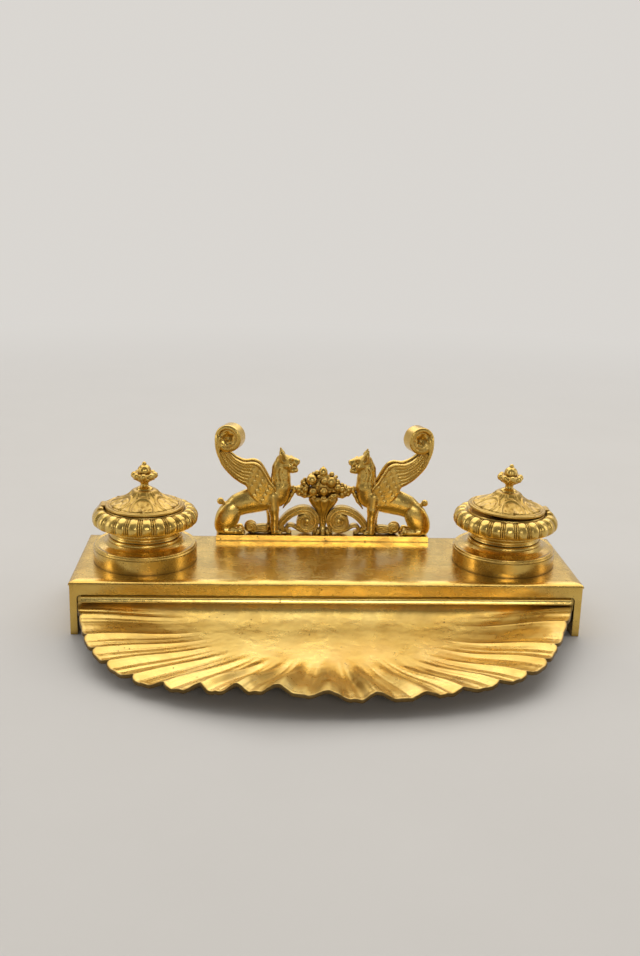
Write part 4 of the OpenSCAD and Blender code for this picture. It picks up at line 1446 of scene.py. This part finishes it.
        def petals(spot: Array, angle: Array) -> Array:
            """Lobes round the cup and petals on the bud.

            Args:
                spot: radius and height of the places on the section.
                angle: their angles round the axis.

            Returns:
                How far each place stands proud.
            """
            height = spot[..., 1]
            cup = rising(height, 4.0, 2) * falling(height, 10.4, 0.8)
            lobes = np.abs(np.cos(4 * angle)) ** 0.7
            bud = rising(height, 10.8, 0.8) * falling(height, 15.4, 1.2)
            return cup * (1.1 * lobes - 0.8) + bud * 0.3 * (np.abs(np.cos(3 * angle + 0.6)) ** 0.8 - 0.7)

        shapes, berries = [lathe(section, 176, petals)], 8
        for i in range(berries):
            a = TAU * i / berries
            shapes.append(sphere((6.5 * math.cos(a), 6.5 * math.sin(a), 9.1), (2.1, 2.1, 2.2), 14, 20))
            a += math.pi / berries
            shapes.append(sphere((6.2 * math.cos(a), 6.2 * math.sin(a), 7.6), (1.2, 1.2, 1.2), 10, 14))
        return Shape.joined(shapes).moved(0, 0, base)

    def build(self) -> None:
        """Makes the inkwell."""
        word = self.side.word
        for node, finish in (("drum", PLAIN), ("ink_pot", GLASS), ("hinge_pin", FIXINGS),
                             ("finial_nut", FIXINGS)):
            Bench.dress(f"{node}_{word}", finish)
        for node, shape, finish, body in (("collar", self.seated(self.collar()), CHASED, "well"),
                                          ("lid", self.hinged(self.lid()), MATTED_SHADED, "lid"),
                                          ("finial", self.hinged(self.finial()), CHASED, "lid")):
            Bench.piece(f"{node}_{word}_chased", shape, finish, f"{word}_{body}", replaces=[f"{node}_{word}"])


# ---------- figure group ----------


@dataclass
class FigureGroup:
    """Where the figures stand: X from the middle, Y from the plinth's middle, Z above its top.

    Attributes:
        y: the plinth's middle.
        z: the plinth's top.
    """

    y: float = 94.5
    z: float = 39.2

    def piece(self, name: str, shape: Shape, hollow: Array, node: str | None = None, side: Side = Side.LEFT,
              sharp: float = 70) -> None:
        """Makes a piece of a shape drawn for the left side, set on the plinth on either side.

        Args:
            name: the piece's name.
            shape: its shape on the left side.
            hollow: how deep in a hollow each point lies.
            node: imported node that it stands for.
            side: the side it stands on.
            sharp: edges that turn by more degrees stay sharp.
        """
        if side is Side.RIGHT:
            shape = shape.mirrored()
        Bench.piece(name, shape.moved(0, self.y, self.z), CHASED, BASE, [node] if node else (), sharp, hollow)


@dataclass
class Griffin:
    """A seated winged griffin with a lion's body, drawn facing +X; its two wings roll up into one curl.

    Attributes:
        group: where it stands.
        cell: cell size of its clay.
        curl_centre, curl_r, curl_w: middle, radius and width of the curl.
        curl_turn: how far its axis is turned about Z, in degrees.
        wing_y: how far a wing's middle stands out.
        wing_steps: points across a wing.
        reeds, reed_h, barb_h: number and height of the long feathers, and height of their barbs.
        scale_rows, scale_cols, scale_h: rows, columns and height of the scale feathers.
        shoulder: how far along the wing the scale feathers reach, as a share.
    """

    group: FigureGroup
    cell: float = 0.36
    curl_centre: Row = (-63.8, -0.6, 67.4)
    curl_r: float = 9.2
    curl_w: float = 11
    curl_turn: float = -19
    wing_y: float = 4.7
    wing_steps: int = 54
    reeds: int = 7
    reed_h: float = 0.65
    barb_h: float = 0.12
    scale_rows: float = 5.5
    scale_cols: int = 5
    scale_h: float = 0.95
    shoulder: float = 0.62

    def torso(self, clay: Clay) -> None:
        """Trunk, chest, thighs and legs.

        Args:
            clay: the clay they are added to.
        """
        clay.limb([[-30.5, 0, 29, 7], [-38, 0, 25.8, 8], [-45, 0, 23.9, 8], [-52, 0, 22.2, 7.5],
                   [-58, 0, 20, 6.6], [-63, 0, 16, 6.6]], 0, 4, thin=1.5)
        clay.ball((-30, 0, 28.6), (6.7, 5.1, 10), 2.5, 10)
        clay.ball((-28.6, 0, 33.6), (5.2, 4.6, 4.6), 2)
        for s in (-1, 1):
            back = 0 if s < 0 else -2.4
            clay.ball((-65.2, s * 2.8, 11.2), (7.9, 3.7, 12.5), 0.7, 27)
            clay.limb([[-67, s * 3.9, 2.6, 2.6], [-60, s * 4.1, 2.1, 2.1], [-56.8, s * 4.1, 2.7, 2.3],
                       [-55.2, s * 4.1, 1.5, 1.7]], 0.8)
            for toe in (-1.1, 0, 1.1):
                clay.ball((-53.9 - 0.4 * abs(toe), s * 4.1 + toe, 1.1), 0.95, 0.3)
            clay.limb([[-34.6 + back / 2, s * 2.9, 27, 4.2], [-33.8 + back, s * 3.3, 18, 3.7],
                       [-33.2 + back, s * 3.6, 11.5, 2.8], [-33.3 + back, s * 3.6, 5, 2.6],
                       [-33 + back, s * 3.6, 2.2, 2.8]], 1.0, thin=1.1)
            clay.limb([[-33 + back, s * 3.6, 2.1, 2.5], [-30.6 + back, s * 3.6, 1.6, 1.9]], 0.6)
            for toe in (-1.3, 0, 1.3):
                clay.ball((-28.9 + back - 0.3 * abs(toe), s * 3.6 + toe, 1.2), 1.05, 0.3)
            clay.limb([[-36.8 + back, s * 5.6, 24, 0.5], [-36.4 + back, s * 5.9, 15, 0.35],
                       [-35.2 + back, s * 6.1, 8, 0.3]], 0.2, cut=True)
            # the line along the front of the thigh
            clay.limb([[-61.2, s * 5.3, 21.4, 0.4], [-58.2, s * 5.2, 18.6, 0.5], [-57.4, s * 5.3, 14.6, 0.5],
                       [-58.8, s * 5.6, 9.6, 0.5], [-62.4, s * 5.8, 4.2, 0.45],
                       [-66.4, s * 5.6, 1.8, 0.35]], 0.25, cut=True)
        clay.limb([[-65.5, 0, 19.4, 1.7], [-68.4, 0, 21.3, 1.4]], 0.8)
        clay.ball((-70.2, 0, 22.4), 2.4, 0.3)
        clay.limb([[-68.8, -2.2, 23.2, 0.3], [-70.2, -2.5, 22, 0.3], [-71.6, -2.2, 21, 0.3]], 0.1, cut=True)

    def head(self, clay: Clay) -> None:
        """Neck and head, with open jaws and upright pointed ears.

        Args:
            clay: the clay they are added to.
        """
        clay.limb([[-29, 0, 33, 7], [-29.3, 0, 40, 6.2], [-29.4, 0, 46, 5.6], [-28.2, 0, 51, 5]], 2.0, 2,
                  thin=1.4)
        clay.ball((-26.2, 0, 50.8), (5, 3.9, 4.6), 1.2)
        clay.limb([[-24, 0, 50.8, 3.5], [-20.6, 0, 50.9, 2.7], [-18.7, 0, 50.6, 2.3]], 1.0)
        clay.ball((-17.9, 0, 51.2), (1.5, 1.9, 1.3), 0.5)
        clay.limb([[-25.6, 0, 46.8, 3.0], [-21.4, 0, 44.7, 1.9], [-19, 0, 44.5, 1.4]], 0.8)
        clay.limb([[-23.3, 0, 47.4, 0.5], [-20, 0, 47.3, 1.1], [-16, 0, 47.2, 1.3]], 0.3, cut=True, thin=0.3)
        clay.limb([[-23.2, 0, 46.9, 1.5], [-19.4, 0, 46.9, 1.3]], 0.2, thin=1.6)
        clay.ball((-18.9, 0, 45.0), (1.4, 1.7, 1.6), 0.4)
        for s in (-1, 1):
            clay.ball((-23.4, s * 2.5, 48.2), (2.3, 1.9, 2.2), 0.8)
            clay.ball((-19.2, s * 1.5, 49.5), (1.6, 1.3, 1.3), 0.5)
            clay.limb([[-18.5, s * 1.2, 48.6, 0.5], [-18.6, s * 1.2, 46.9, 0.2]], 0.1)
            clay.ball((-22.4, s * 3.3, 51.6), 1.3, 0.5, cut=True)
            clay.ball((-22.7, s * 2.7, 51.6), 1.05, 0.1)
            clay.limb([[-20.8, s * 2, 52.9, 0.8], [-22.6, s * 2.9, 53.4, 0.9], [-24.8, s * 3, 52.8, 0.6]],
                      0.5)
            clay.ball((-17.2, s * 1.1, 51), 0.45, 0.2, cut=True)
            clay.limb([[-28.0, s * 2.6, 52.8, 2.5], [-28.7, s * 2.9, 56.0, 1.9], [-29.7, s * 3, 59.4, 0.6]],
                      0.9)
            clay.limb([[-27.3, s * 4.6, 52.6, 1.2], [-28.2, s * 4.5, 56.6, 0.5]], 0.4, cut=True)
            clay.ball((-26.4, s * 3.3, 48.4), 1.5, 0.5)
            # locks of the mane
            for k in range(4):
                x = -34 + 2.7 * k
                clay.limb([[x + 1.6, s * (3.1 + 0.5 * min(k, 2)), 48.6 - 0.7 * k, 0.3],
                           [x + 0.2, s * (3.9 + 0.35 * min(k, 2)), 43.6, 0.42],
                           [x + 1.2, s * (4.3 + 0.3 * min(k, 2)), 38.4, 0.42],
                           [x + 0.4, s * (4.8 + 0.2 * min(k, 2)), 34.6, 0.25]], 0.3, cut=True)

    def curl(self, clay: Clay) -> None:
        """The roll of the wing tips, with a rosette on each end, and the web that leads to it.

        Args:
            clay: the clay they are added to.
        """
        a = math.radians(self.curl_turn)
        c, r, half = np.array(self.curl_centre), self.curl_r, self.curl_w / 2

        def roll(x: Array, y: Array, z: Array) -> Array:
            """Distance to the roll, rosettes included.

            Args:
                x, y, z: coordinates of the places.

            Returns:
                The distances.
            """
            u = (x - c[0]) * math.cos(a) + (y - c[1]) * math.sin(a)
            v = -(x - c[0]) * math.sin(a) + (y - c[1]) * math.cos(a)
            w = z - c[2]
            rho, phi = np.sqrt(u**2 + w**2), np.arctan2(w, u)
            petal = np.abs(np.cos(2.5 * phi + 0.3)) ** 0.7 * bell(rho, 3.2, 1.5)
            inner = 0.5 * np.abs(np.cos(2.5 * phi + 1.9)) * bell(rho, 5.0, 0.7)
            end = half - 1.4 * falling(rho, 6.6, 0.5) + petal + inner + 1.1 * bell(rho, 0, 1.1)
            step = 0.08 * (rho - 7.2) ** 2
            return smooth_max(rho - r, np.abs(v) - end + step, 0.7)

        clay.form(c - r - 1, c + r + 1, roll, 0.4)
        for path, widths, thick, crown, blend in (
                ([[-57.5, 38.6], [-62.6, 42.8], [-67.2, 48.2], [-70, 53.6], [-71, 57]],
                 (1.2, 2.8), 3.0, 0.6, 0.8),
                ([[-69, 50.8], [-71, 55.4], [-72.1, 60], [-72, 64], [-71, 67]],
                 (2.0, 4.4), 4.4, 1.2, 1.6),
                ([[-66.4, 58.4], [-68, 60.2], [-69, 63]], (4.6, 5.0), 4.0, 0.8, 1.4)):
            clay.band(curve(path, 6), widths, lambda u, t=thick, k=crown: t - k * u**2, y=-0.3, blend=blend)

    def wing(self, side: int) -> Shape:
        """One wing: scale feathers at the shoulder and long feathers that sweep up to the curl.

        Args:
            side: -1 for the front wing, 1 for the rear one.

        Returns:
            The wing.
        """
        upper = curve([[-32.4, 30.5], [-32.9, 34], [-36.4, 38.6], [-39.6, 44.4], [-43, 49.2], [-47.4, 51.5],
                       [-53.8, 51.2], [-59.2, 53.4], [-63, 56.6], [-66.4, 60]], 16)
        lower = curve([[-36.2, 21.6], [-39.5, 20.6], [-44.5, 22], [-49.4, 27.2], [-51.6, 31.6], [-53, 34.6],
                       [-57, 36.8], [-62.8, 41.2], [-69.4, 48.8], [-72.6, 57]], 16)
        ns, nt = len(upper), self.wing_steps
        s, t = np.meshgrid(np.linspace(0, 1, ns), np.linspace(0, 1, nt), indexing="ij")
        flat = upper[:, None] * (1 - t[..., None]) + lower[:, None] * t[..., None]
        long = rising(s, 0.5, 0.1)
        reed = np.mod(t * self.reeds + 0.25 * s, 1)
        barb = self.barb_h * np.cos(18 * math.pi * (t * self.reeds + 4 * s))
        feather = self.reed_h * (1 - reed) ** 0.8 * smooth_step(reed / 0.12) + barb
        along = s / self.shoulder * self.scale_rows
        across = np.mod(t * self.scale_cols + 0.5 * np.mod(np.floor(along), 2), 1)
        tip = 0.35 * (2 * across - 1) ** 2
        local = np.mod(along + tip, 1)
        scale = self.scale_h * local**0.7 * (1 - rising(local, 0.88, 0.12))
        scale = scale * (0.6 + 0.4 * (1 - np.abs(2 * across - 1)))
        relief = feather * long + scale * (1 - long)
        border = rising(t, 0.1, 0.05) * falling(t, 0.97, 0.03)
        roll = 0.9 * bell(t, 0.05, 0.05)
        edge = np.clip(1 - np.abs(2 * t - 1) ** 14, 0, 1) ** 0.5
        taper = smooth_step(s / 0.06) * (0.9 + 0.1 * s)
        half = (0.75 + 0.6 * relief * border + roll) * edge * taper + 0.05
        bow = 0.7 * np.sin(math.pi * np.clip(s * 1.4, 0, 1))
        middle = side * (self.wing_y + bow - 1.3 * rising(s, 0.75, 0.25))
        if side > 0:
            middle = middle - 0.2
        front = np.stack([flat[..., 0], middle - half, flat[..., 1]], -1)
        rear = np.stack([flat[..., 0], middle + half, flat[..., 1]], -1)
        ring = np.concatenate([front, rear[:, ::-1]], 1)
        faces = [grid_faces(ns, 2 * nt, False, True, flip=True)]
        first = np.arange(nt - 1)
        last = 2 * nt - 1 - first
        end = np.column_stack([first, first + 1, last - 1, last])
        return Shape(ring.reshape(-1, 3), [*faces, end[:, ::-1], end + (ns - 1) * 2 * nt])

    def build(self) -> None:
        """Makes both griffins."""
        clay = Clay((-76, -8, -1), (-14, 8, 79), self.cell)
        self.torso(clay)
        self.head(clay)
        self.curl(clay)
        for s in (-1, 1):
            clay.ball((-36.6, s * 5.3, 22.4), (1.7, 0.8, 1.7), 0.3)
            clay.ball((-36.6, s * 6.3, 22.4), (0.8, 0.6, 0.8), 0.1, cut=True)
        clay.trim(0)
        shape = clay.skin()
        hollow = Bench.hollows(shape)
        wings = Shape.joined([self.wing(-1), self.wing(1)])
        deep = Bench.hollows(wings, gain=6)
        for side in Side:
            name = f"griffin_{side.word}"
            self.group.piece(f"{name}_figure", shape, hollow, name, side)
            self.group.piece(f"{name}_wings", wings, deep, side=side, sharp=60)


@dataclass
class Scroll:
    """The reeded scroll between a griffin and the fruit stand, with its link to the small rear volute.

    Attributes:
        group: where it stands.
        cell: cell size of its clay.
        thick: its half thickness, reeds included.
    """

    group: FigureGroup
    cell: float = 0.3
    thick: float = 3.4

    def build(self) -> None:
        """Makes both scrolls."""
        clay = Clay((-54, -4.6, -0.6), (-3, 4.6, 20), self.cell)

        def reeded(u: Array) -> Array:
            """Half thickness: a rounded middle between two thin edge fillets."""
            grooves = bell(u, 0.36, 0.13) + bell(u, 0.74, 0.11)
            return self.thick - 0.6 * grooves - 0.35 * u**2

        clay.ball((-11, 0, 9.2), (7, 2.4, 7), 0)
        main = curve([[-29.4, 6.2], [-26.8, 9.7], [-23.6, 13], [-20, 15.3], [-16, 16.9], [-12, 17.2],
                      [-8.2, 15.8], [-5.7, 12.6], [-5, 9], [-6.2, 5.6], [-9, 3.6], [-12.4, 3.4],
                      [-15.2, 5], [-16.4, 8], [-15.4, 11.2], [-12.6, 12.8], [-9.8, 11.8], [-8.6, 9.2],
                      [-9.8, 7], [-11.8, 6.9]], 5)
        share = np.linspace(0, 1, len(main))
        widths = np.interp(share, [0, 0.25, 0.45, 0.6, 0.75, 1], [5.0, 5.6, 5.2, 4.2, 3.2, 1.8])
        clay.band(main, widths, reeded)
        for y in (-2.2, 2.2):
            clay.ball((-10.9, y, 9.2), (2, 1.2, 2), 0.2)
        tail = curve([[-22.4, 1.3], [-24, 1.4], [-25, 3.3], [-23.7, 5.5], [-21, 5.8], [-18.4, 4.4],
                      [-15.6, 2.7], [-12, 1.9], [-8.8, 2.5], [-6.4, 4.8]], 5)
        clay.band(tail, (2.4, 2.8), lambda u: reeded(u) - 0.5)
        link = curve([[-28.4, 2.9], [-34, 3.2], [-40, 3.2], [-46, 3.0]], 6)
        clay.band(link, (5.0, 5.4), lambda u: 1.55 + 0.25 * np.cos(u * 9))
        rear = curve([[-39.4, 3.4], [-42.4, 3.6], [-45.4, 3.2], [-47.6, 2.2]], 6)
        clay.band(rear, (5.8, 4.4), lambda u: 2.5 + 0.35 * np.cos(u * 11))
        clay.limb([[-29.4, 0, 5.4, 1.6], [-26.4, 0, 2.2, 1.6], [-23, 0, 1.6, 1.2]], 0.4)
        spiral = np.array([[-49.5 + r * math.cos(t), 4.5 + r * math.sin(t)]
                           for t, r in zip(np.linspace(-0.6, 9.8, 60), np.linspace(3.3, 0.6, 60))])
        clay.ball((-49.5, 0, 4.6), (4.4, 2.6, 4.6), 0.2)
        clay.band(spiral, (2.2, 1.3), lambda u: 3.1 - 0.7 * u**2)
        clay.trim(0)
        shape = clay.skin()
        hollow = Bench.hollows(shape)
        for side in Side:
            name = f"scroll_{side.word}"
            self.group.piece(f"{name}_chased", shape, hollow, name, side)


@dataclass
class FruitStand:
    """The leafy vase in the middle, the arms of buds that reach to the griffins, and the heap of fruit.

    Attributes:
        group: where it stands.
        cell: cell size of its clay.
        depth: the vase's size along Y, as a share of that along X.
        heap_foot: height at which the heap is cut level.
        leaves: number of leaves round the vase's foot.
    """

    group: FigureGroup
    cell: float = 0.3
    depth: float = 0.64
    heap_foot: float = 24.4
    leaves: int = 10

    def vase(self) -> Shape:
        """The vase and its ring of acanthus leaves.

        Returns:
            The vase with its leaves.
        """
        profile = resample(np.vstack([[[0.05, 0], [4.2, 0]], curve(
            [[4.2, 1.6], [3, 3.4], [2.3, 5.2], [2.2, 8], [2.6, 11], [3.3, 14], [4.8, 17.5], [7.2, 20.7],
             [9, 24], [9.8, 25.6]], 8), [[9.2, 26.6], [0.05, 26.8]]]), 0.3)

        def blades(spot: Array, angle: Array) -> Array:
            """Overlapping blades that fan out towards the rim.

            Args:
                spot: radius and height of the places on the section.
                angle: their angles round the axis.

            Returns:
                How far each place stands proud.
            """
            height = spot[..., 1]
            rise = rising(height, 5, 3) * falling(height, 26, 1.5)
            blade = np.abs(np.cos(4.5 * angle + 0.05 * (height - 14)))
            return rise * (1.3 * blade**0.6 - 0.5) * (0.35 + spot[..., 0] / 9)

        vase = lathe(profile, 180, blades)
        vase.points[:, 1] *= self.depth
        shapes = [vase]
        for i in range(self.leaves):
            a = TAU * (i + 0.5) / self.leaves
            shapes.append(sphere((5.2 * math.cos(a), 3.7 * math.sin(a), 1.7), (1.55, 1.4, 2.2), 12, 18))
            shapes.append(sphere((6.4 * math.cos(a), 4.8 * math.sin(a), 0.75), (1.1, 1.0, 0.8), 10, 14))
        return Shape.joined(shapes)

    def arms(self) -> Shape:
        """The arms of buds and the thin leaves that run down each griffin's chest.

        Returns:
            Both arms, joined by a bar inside the heap.
        """
        clay = Clay((-30, -6.4, 15), (30, 6.4, 36), self.cell)
        clay.limb([[-10, 0, 31, 2.6], [10, 0, 31, 2.6]], 0)
        for s in (-1, 1):
            clay.limb([[s * 9, 0, 31, 2.4], [s * 18, 0, 31.6, 1.9], [s * 23.6, 0, 32.4, 1.3]], 0.3)
            clay.ball((s * 20.6, 0, 32.1), (0.8, 2.1, 2.2), 0.2)
            clay.limb([[s * 20, 0, 31, 1.5], [s * 21.8, 0, 27.6, 1.5], [s * 23.8, 0, 23.2, 1.2],
                       [s * 27.4, 0, 18, 0.5]], 0.5, thin=0.8)
            for x, y, z, r in ((12.4, -2.4, 31.9, 2.3), (12.6, -2.4, 28.6, 1.7), (16.9, -1.2, 31.6, 2.4),
                               (16.8, -1.4, 28.5, 1.6), (14.6, -2.6, 30, 1.4), (14.8, -1, 33.6, 1.5),
                               (18.9, -0.6, 30, 1.3)):
                for side in (-1, 1):
                    clay.ball((s * x, side * y, z), r, 0.25)
            clay.limb([[s * 8, 0, 27.6, 1.8], [s * 13, 0, 26.8, 1.5], [s * 18.2, 0, 28.2, 0.7]], 0.4,
                      thin=0.6)
        return clay.skin()

    def heap(self) -> Shape:
        """The heap of fruit, leaves and one pointed fruit on top.

        Returns:
            The heap.
        """
        clay = Clay((-17, -6.6, 23.5), (15, 6.6, 49), self.cell)
        clay.ball((0, 0, 32.5), (9, 3.8, 7), 0)
        clay.ball((0, 0, 38.5), (5.5, 3, 4.5), 0.5)
        clay.ball((-0.5, 0, 43.2), (3.1, 2.9, 4.0), 0.15)
        clay.limb([[-0.5, 0, 45, 1.8], [-0.4, 0, 47.6, 0.4]], 0.8)
        fruit = ((-8.3, -2.1, 38.7, 3.8), (-5.6, 0.5, 43.0, 1.9), (-7.2, -0.6, 43, 1.1),
                 (-13.6, 0, 36.3, 2.4), (-13.1, -0.6, 38.9, 1.1), (0.3, -3, 37.9, 2.5), (4.6, 0.6, 42.0, 1.8),
                 (9.2, -0.6, 36.8, 2.1), (9.4, -2.2, 33.1, 2.7), (0, -4, 31.2, 3.0), (-7.2, -3.4, 30.7, 3.0),
                 (0, -4.6, 26.4, 2.1), (-6.4, -4.2, 27, 1.5), (-4.3, -4.6, 25.8, 1.1), (3.7, -4.6, 31, 0.9),
                 (-11.6, -1.6, 33.9, 1.7), (12.6, -0.5, 35, 1.5), (-3.4, -2.4, 41, 1.4), (7.6, -1.4, 40, 1.3),
                 (-4.4, -4.2, 28.6, 0.9))
        for x, y, z, r in fruit:
            for side in (-1, 1) if abs(y) > 1 else (1,):
                shift = 0.9 if side * y > 0 else 0
                clay.ball((x + shift, side * y, z), r, 0.12)
                eye_y = side * y + (-r if side * y <= 0 else r) * 0.93
                clay.ball((x + shift - 0.1, eye_y, z - 0.3 * r), 0.13 * r, 0.1, cut=True)
        for s in (-1, 1):
            clay.ball((4.9, s * 2.2, 36.9), (3.3, 3.0, 4.0), 0.12, 8)
            clay.limb([[4.4, s * 5.1, 39, 0.25], [5.4, s * 5.4, 36.6, 0.3], [5.4, s * 5.1, 34.4, 0.25]], 0.1,
                      cut=True)
            # leaves
            clay.limb([[-4.6, s * 4.4, 33.4, 1.0], [-4.2, s * 4.2, 35.6, 1.3],
                       [-3.1, s * 3.4, 38.2, 0.4]], 0.1, thin=1.6)
            clay.limb([[2.8, s * 5.0, 26.2, 0.6], [5.6, s * 5.0, 27.6, 1.7], [8, s * 4.6, 28, 1.4],
                       [10.2, s * 4.0, 27.4, 0.5]], 0.1, thin=1.5)
            clay.limb([[3.4, s * 6.1, 26.6, 0.25], [9.4, s * 5.6, 27.8, 0.25]], 0.1, cut=True)
            for k in range(3):
                clay.limb([[-10.6 + 1.2 * k, s * 5.6, 38.4 - 0.8 * k, 0.25],
                           [-7.6 + 1.1 * k, s * 5.9, 37 + 0.5 * k, 0.25]], 0.1, cut=True)
        clay.trim(self.heap_foot)
        return clay.skin(0)

    def build(self) -> None:
        """Makes the stand and the fruit."""
        stand = Shape.joined([self.vase(), self.arms()])
        for node, shape in (("fruit_stand", stand), ("fruit_heap", self.heap())):
            self.group.piece(f"{node}_chased", shape, Bench.hollows(shape), node)


# ---------- studio ----------


@dataclass
class Studio:
    """Pale floor, soft lamps and the camera.

    Attributes:
        eye, ahead, roll: the camera's place, its direction, and its tilt in degrees.
        lens: focal length in millimetres.
        pale: colour of the background.
        near, far: distances between which the lit floor passes into the background, in metres.
        floor_half: half size of the floor, in metres.
        stone, vein: the two colours of the lit floor.
        front_glow, side_glow, rear_glow: what the metal sees of the room towards each side.
        lamps: name, place, aim, size, power in watts and colour of each lamp.
    """

    eye: Row = (-0.04559, -0.63020, 0.27928)
    ahead: Row = (0.05709, 0.96219, -0.26634)
    roll: float = 1.6
    lens: float = 41.58
    pale: Row = (0.70, 0.675, 0.64)
    near: float = 0.42
    far: float = 1.5
    floor_half: float = 9
    stone: Row = (0.60, 0.58, 0.55)
    vein: Row = (0.64, 0.62, 0.59)
    front_glow: Row = (0.17, 0.16, 0.15)
    side_glow: Row = (0.40, 0.385, 0.365)
    rear_glow: Row = (0.6, 0.577, 0.547)
    lamps: tuple[tuple[str, Row, Row, Row, float, Row], ...] = (
        ("overhead", (0, 0.3, 1.25), (0, 0.02, 0), (2.0, 1.0), 7.5, (1, 0.99, 0.97)),
        ("rear", (0.15, 1.35, 1.15), (0, 0, 0), (2.3, 0.85), 9.5, (1, 0.99, 0.97)),
        ("front", (0.15, -1.3, 0.55), (0, 0, 0.04), (0.7, 0.3), 2.6, (1, 0.98, 0.95)),
        ("left", (-1.3, -0.1, 0.55), (0, 0, 0.05), (0.35, 0.9), 2.2, (1, 1, 1)),
        ("right", (1.3, 0, 0.55), (0, 0, 0.05), (0.35, 0.9), 1.8, (1, 1, 1)))

    def camera(self) -> None:
        """Sets the camera up."""
        data = bpy.data.cameras.new("camera")
        data.sensor_width, data.lens = 36, self.lens
        data.clip_start, data.clip_end = 0.02, 50
        camera = bpy.data.objects.new("camera", data)
        bpy.context.scene.collection.objects.link(camera)
        ahead = Vector(self.ahead).normalized()
        right = ahead.cross(Vector((0, 0, 1))).normalized()
        up = right.cross(ahead)
        a = math.radians(self.roll)
        right, up = right * math.cos(a) + up * math.sin(a), up * math.cos(a) - right * math.sin(a)
        turn = Matrix((right, up, -ahead)).transposed()
        camera.matrix_world = Matrix.Translation(self.eye) @ turn.to_4x4()
        bpy.context.scene.camera = camera

    def floor(self) -> None:
        """Lays the floor, which passes into the room's own pale colour away from the object."""
        mesh = bpy.data.meshes.new("floor")
        h = self.floor_half
        mesh.from_pydata([(-h, -h, 0), (h, -h, 0), (h, h, 0), (-h, h, 0)], [], [(0, 1, 2, 3)])
        n = Nodes.material("pale_floor")
        grain = n.noise(9, 4)
        lit = n.add("ShaderNodeBsdfPrincipled", Base_Color=n.mix(grain, self.stone, self.vein),
                    Roughness=0.62)
        plain = n.add("ShaderNodeEmission", Color=(*self.pale, 1), Strength=1.0)
        length = n.add("ShaderNodeVectorMath", Vector=n.place())
        length.operation = "LENGTH"
        away = n.ramp(length.outputs["Value"], self.near, self.far)
        away.node.interpolation_type = "SMOOTHSTEP"
        path = n.add("ShaderNodeLightPath").outputs
        seen = n.maths("MAXIMUM", n.maths("MAXIMUM", path["Is Camera Ray"], path["Is Glossy Ray"]),
                       path["Is Transmission Ray"])
        mesh.materials.append(n.finish(n.shaders(n.maths("MULTIPLY", away, seen), lit, plain)))
        floor = bpy.data.objects.new("floor", mesh)
        bpy.context.scene.collection.objects.link(floor)

    def lamp(self, name: str, place: Point, aim: Point, size: Point, power: float, colour: Point) -> None:
        """Hangs a soft rectangular lamp.

        Args:
            name: its name.
            place: where it hangs, in metres.
            aim: the point it shines at.
            size: its width and height.
            power: its power in watts.
            colour: colour of its light.
        """
        data = bpy.data.lights.new(name, "AREA")
        data.shape, data.size, data.size_y = "RECTANGLE", size[0], size[1]
        data.energy, data.color = power, colour
        lamp = bpy.data.objects.new(name, data)
        lamp.visible_camera = False
        bpy.context.scene.collection.objects.link(lamp)
        lamp.location = place
        lamp.rotation_euler = (Vector(aim) - Vector(place)).to_track_quat("-Z", "Y").to_euler()

    def backdrop(self) -> None:
        """The room: pale where the camera and glass look, and dimmer towards the front in the metal."""
        world = bpy.data.worlds.new("room")
        bpy.context.scene.world = world
        n = Nodes(world, "ShaderNodeOutputWorld")
        path = n.add("ShaderNodeLightPath").outputs
        seen = n.maths("MAXIMUM", path["Is Camera Ray"], path["Is Transmission Ray"])
        way = n.add("ShaderNodeSeparateXYZ", Vector=n.add("ShaderNodeTexCoord").outputs["Generated"])
        ramp = n.add("ShaderNodeValToRGB", Fac=n.ramp(way.outputs[1], -0.7, 0.55))
        stops = ramp.color_ramp.elements
        stops[0].position, stops[0].color = 0.0, (*self.front_glow, 1)
        stops[1].position, stops[1].color = 1.0, (*self.rear_glow, 1)
        stops.new(0.5).color = (*self.side_glow, 1)
        glow = n.add("ShaderNodeBackground", Color=ramp.outputs[0])
        plain = n.add("ShaderNodeBackground", Color=(*self.pale, 1))
        n.finish(n.shaders(seen, glow, plain))

    def build(self) -> None:
        """Sets the stage."""
        self.camera()
        self.floor()
        self.backdrop()
        for lamp in self.lamps:
            self.lamp(*lamp)
        bpy.context.scene.view_settings.view_transform = "Standard"


def main() -> None:
    """Builds the inkstand's looks and reports each piece."""
    logging.basicConfig(level=logging.INFO, format="%(name)s: %(message)s")
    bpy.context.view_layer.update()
    Studio().build()
    casing = Casing()
    casing.build()
    ShellTray(casing).build()
    for side in Side:
        Inkwell(side).build()
    group = FigureGroup()
    Bench.dress("griffin_plinth", BURNISHED_LIT)
    Griffin(group).build()
    Scroll(group).build()
    FruitStand(group).build()
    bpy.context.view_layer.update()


if __name__ == "__main__":
    main()
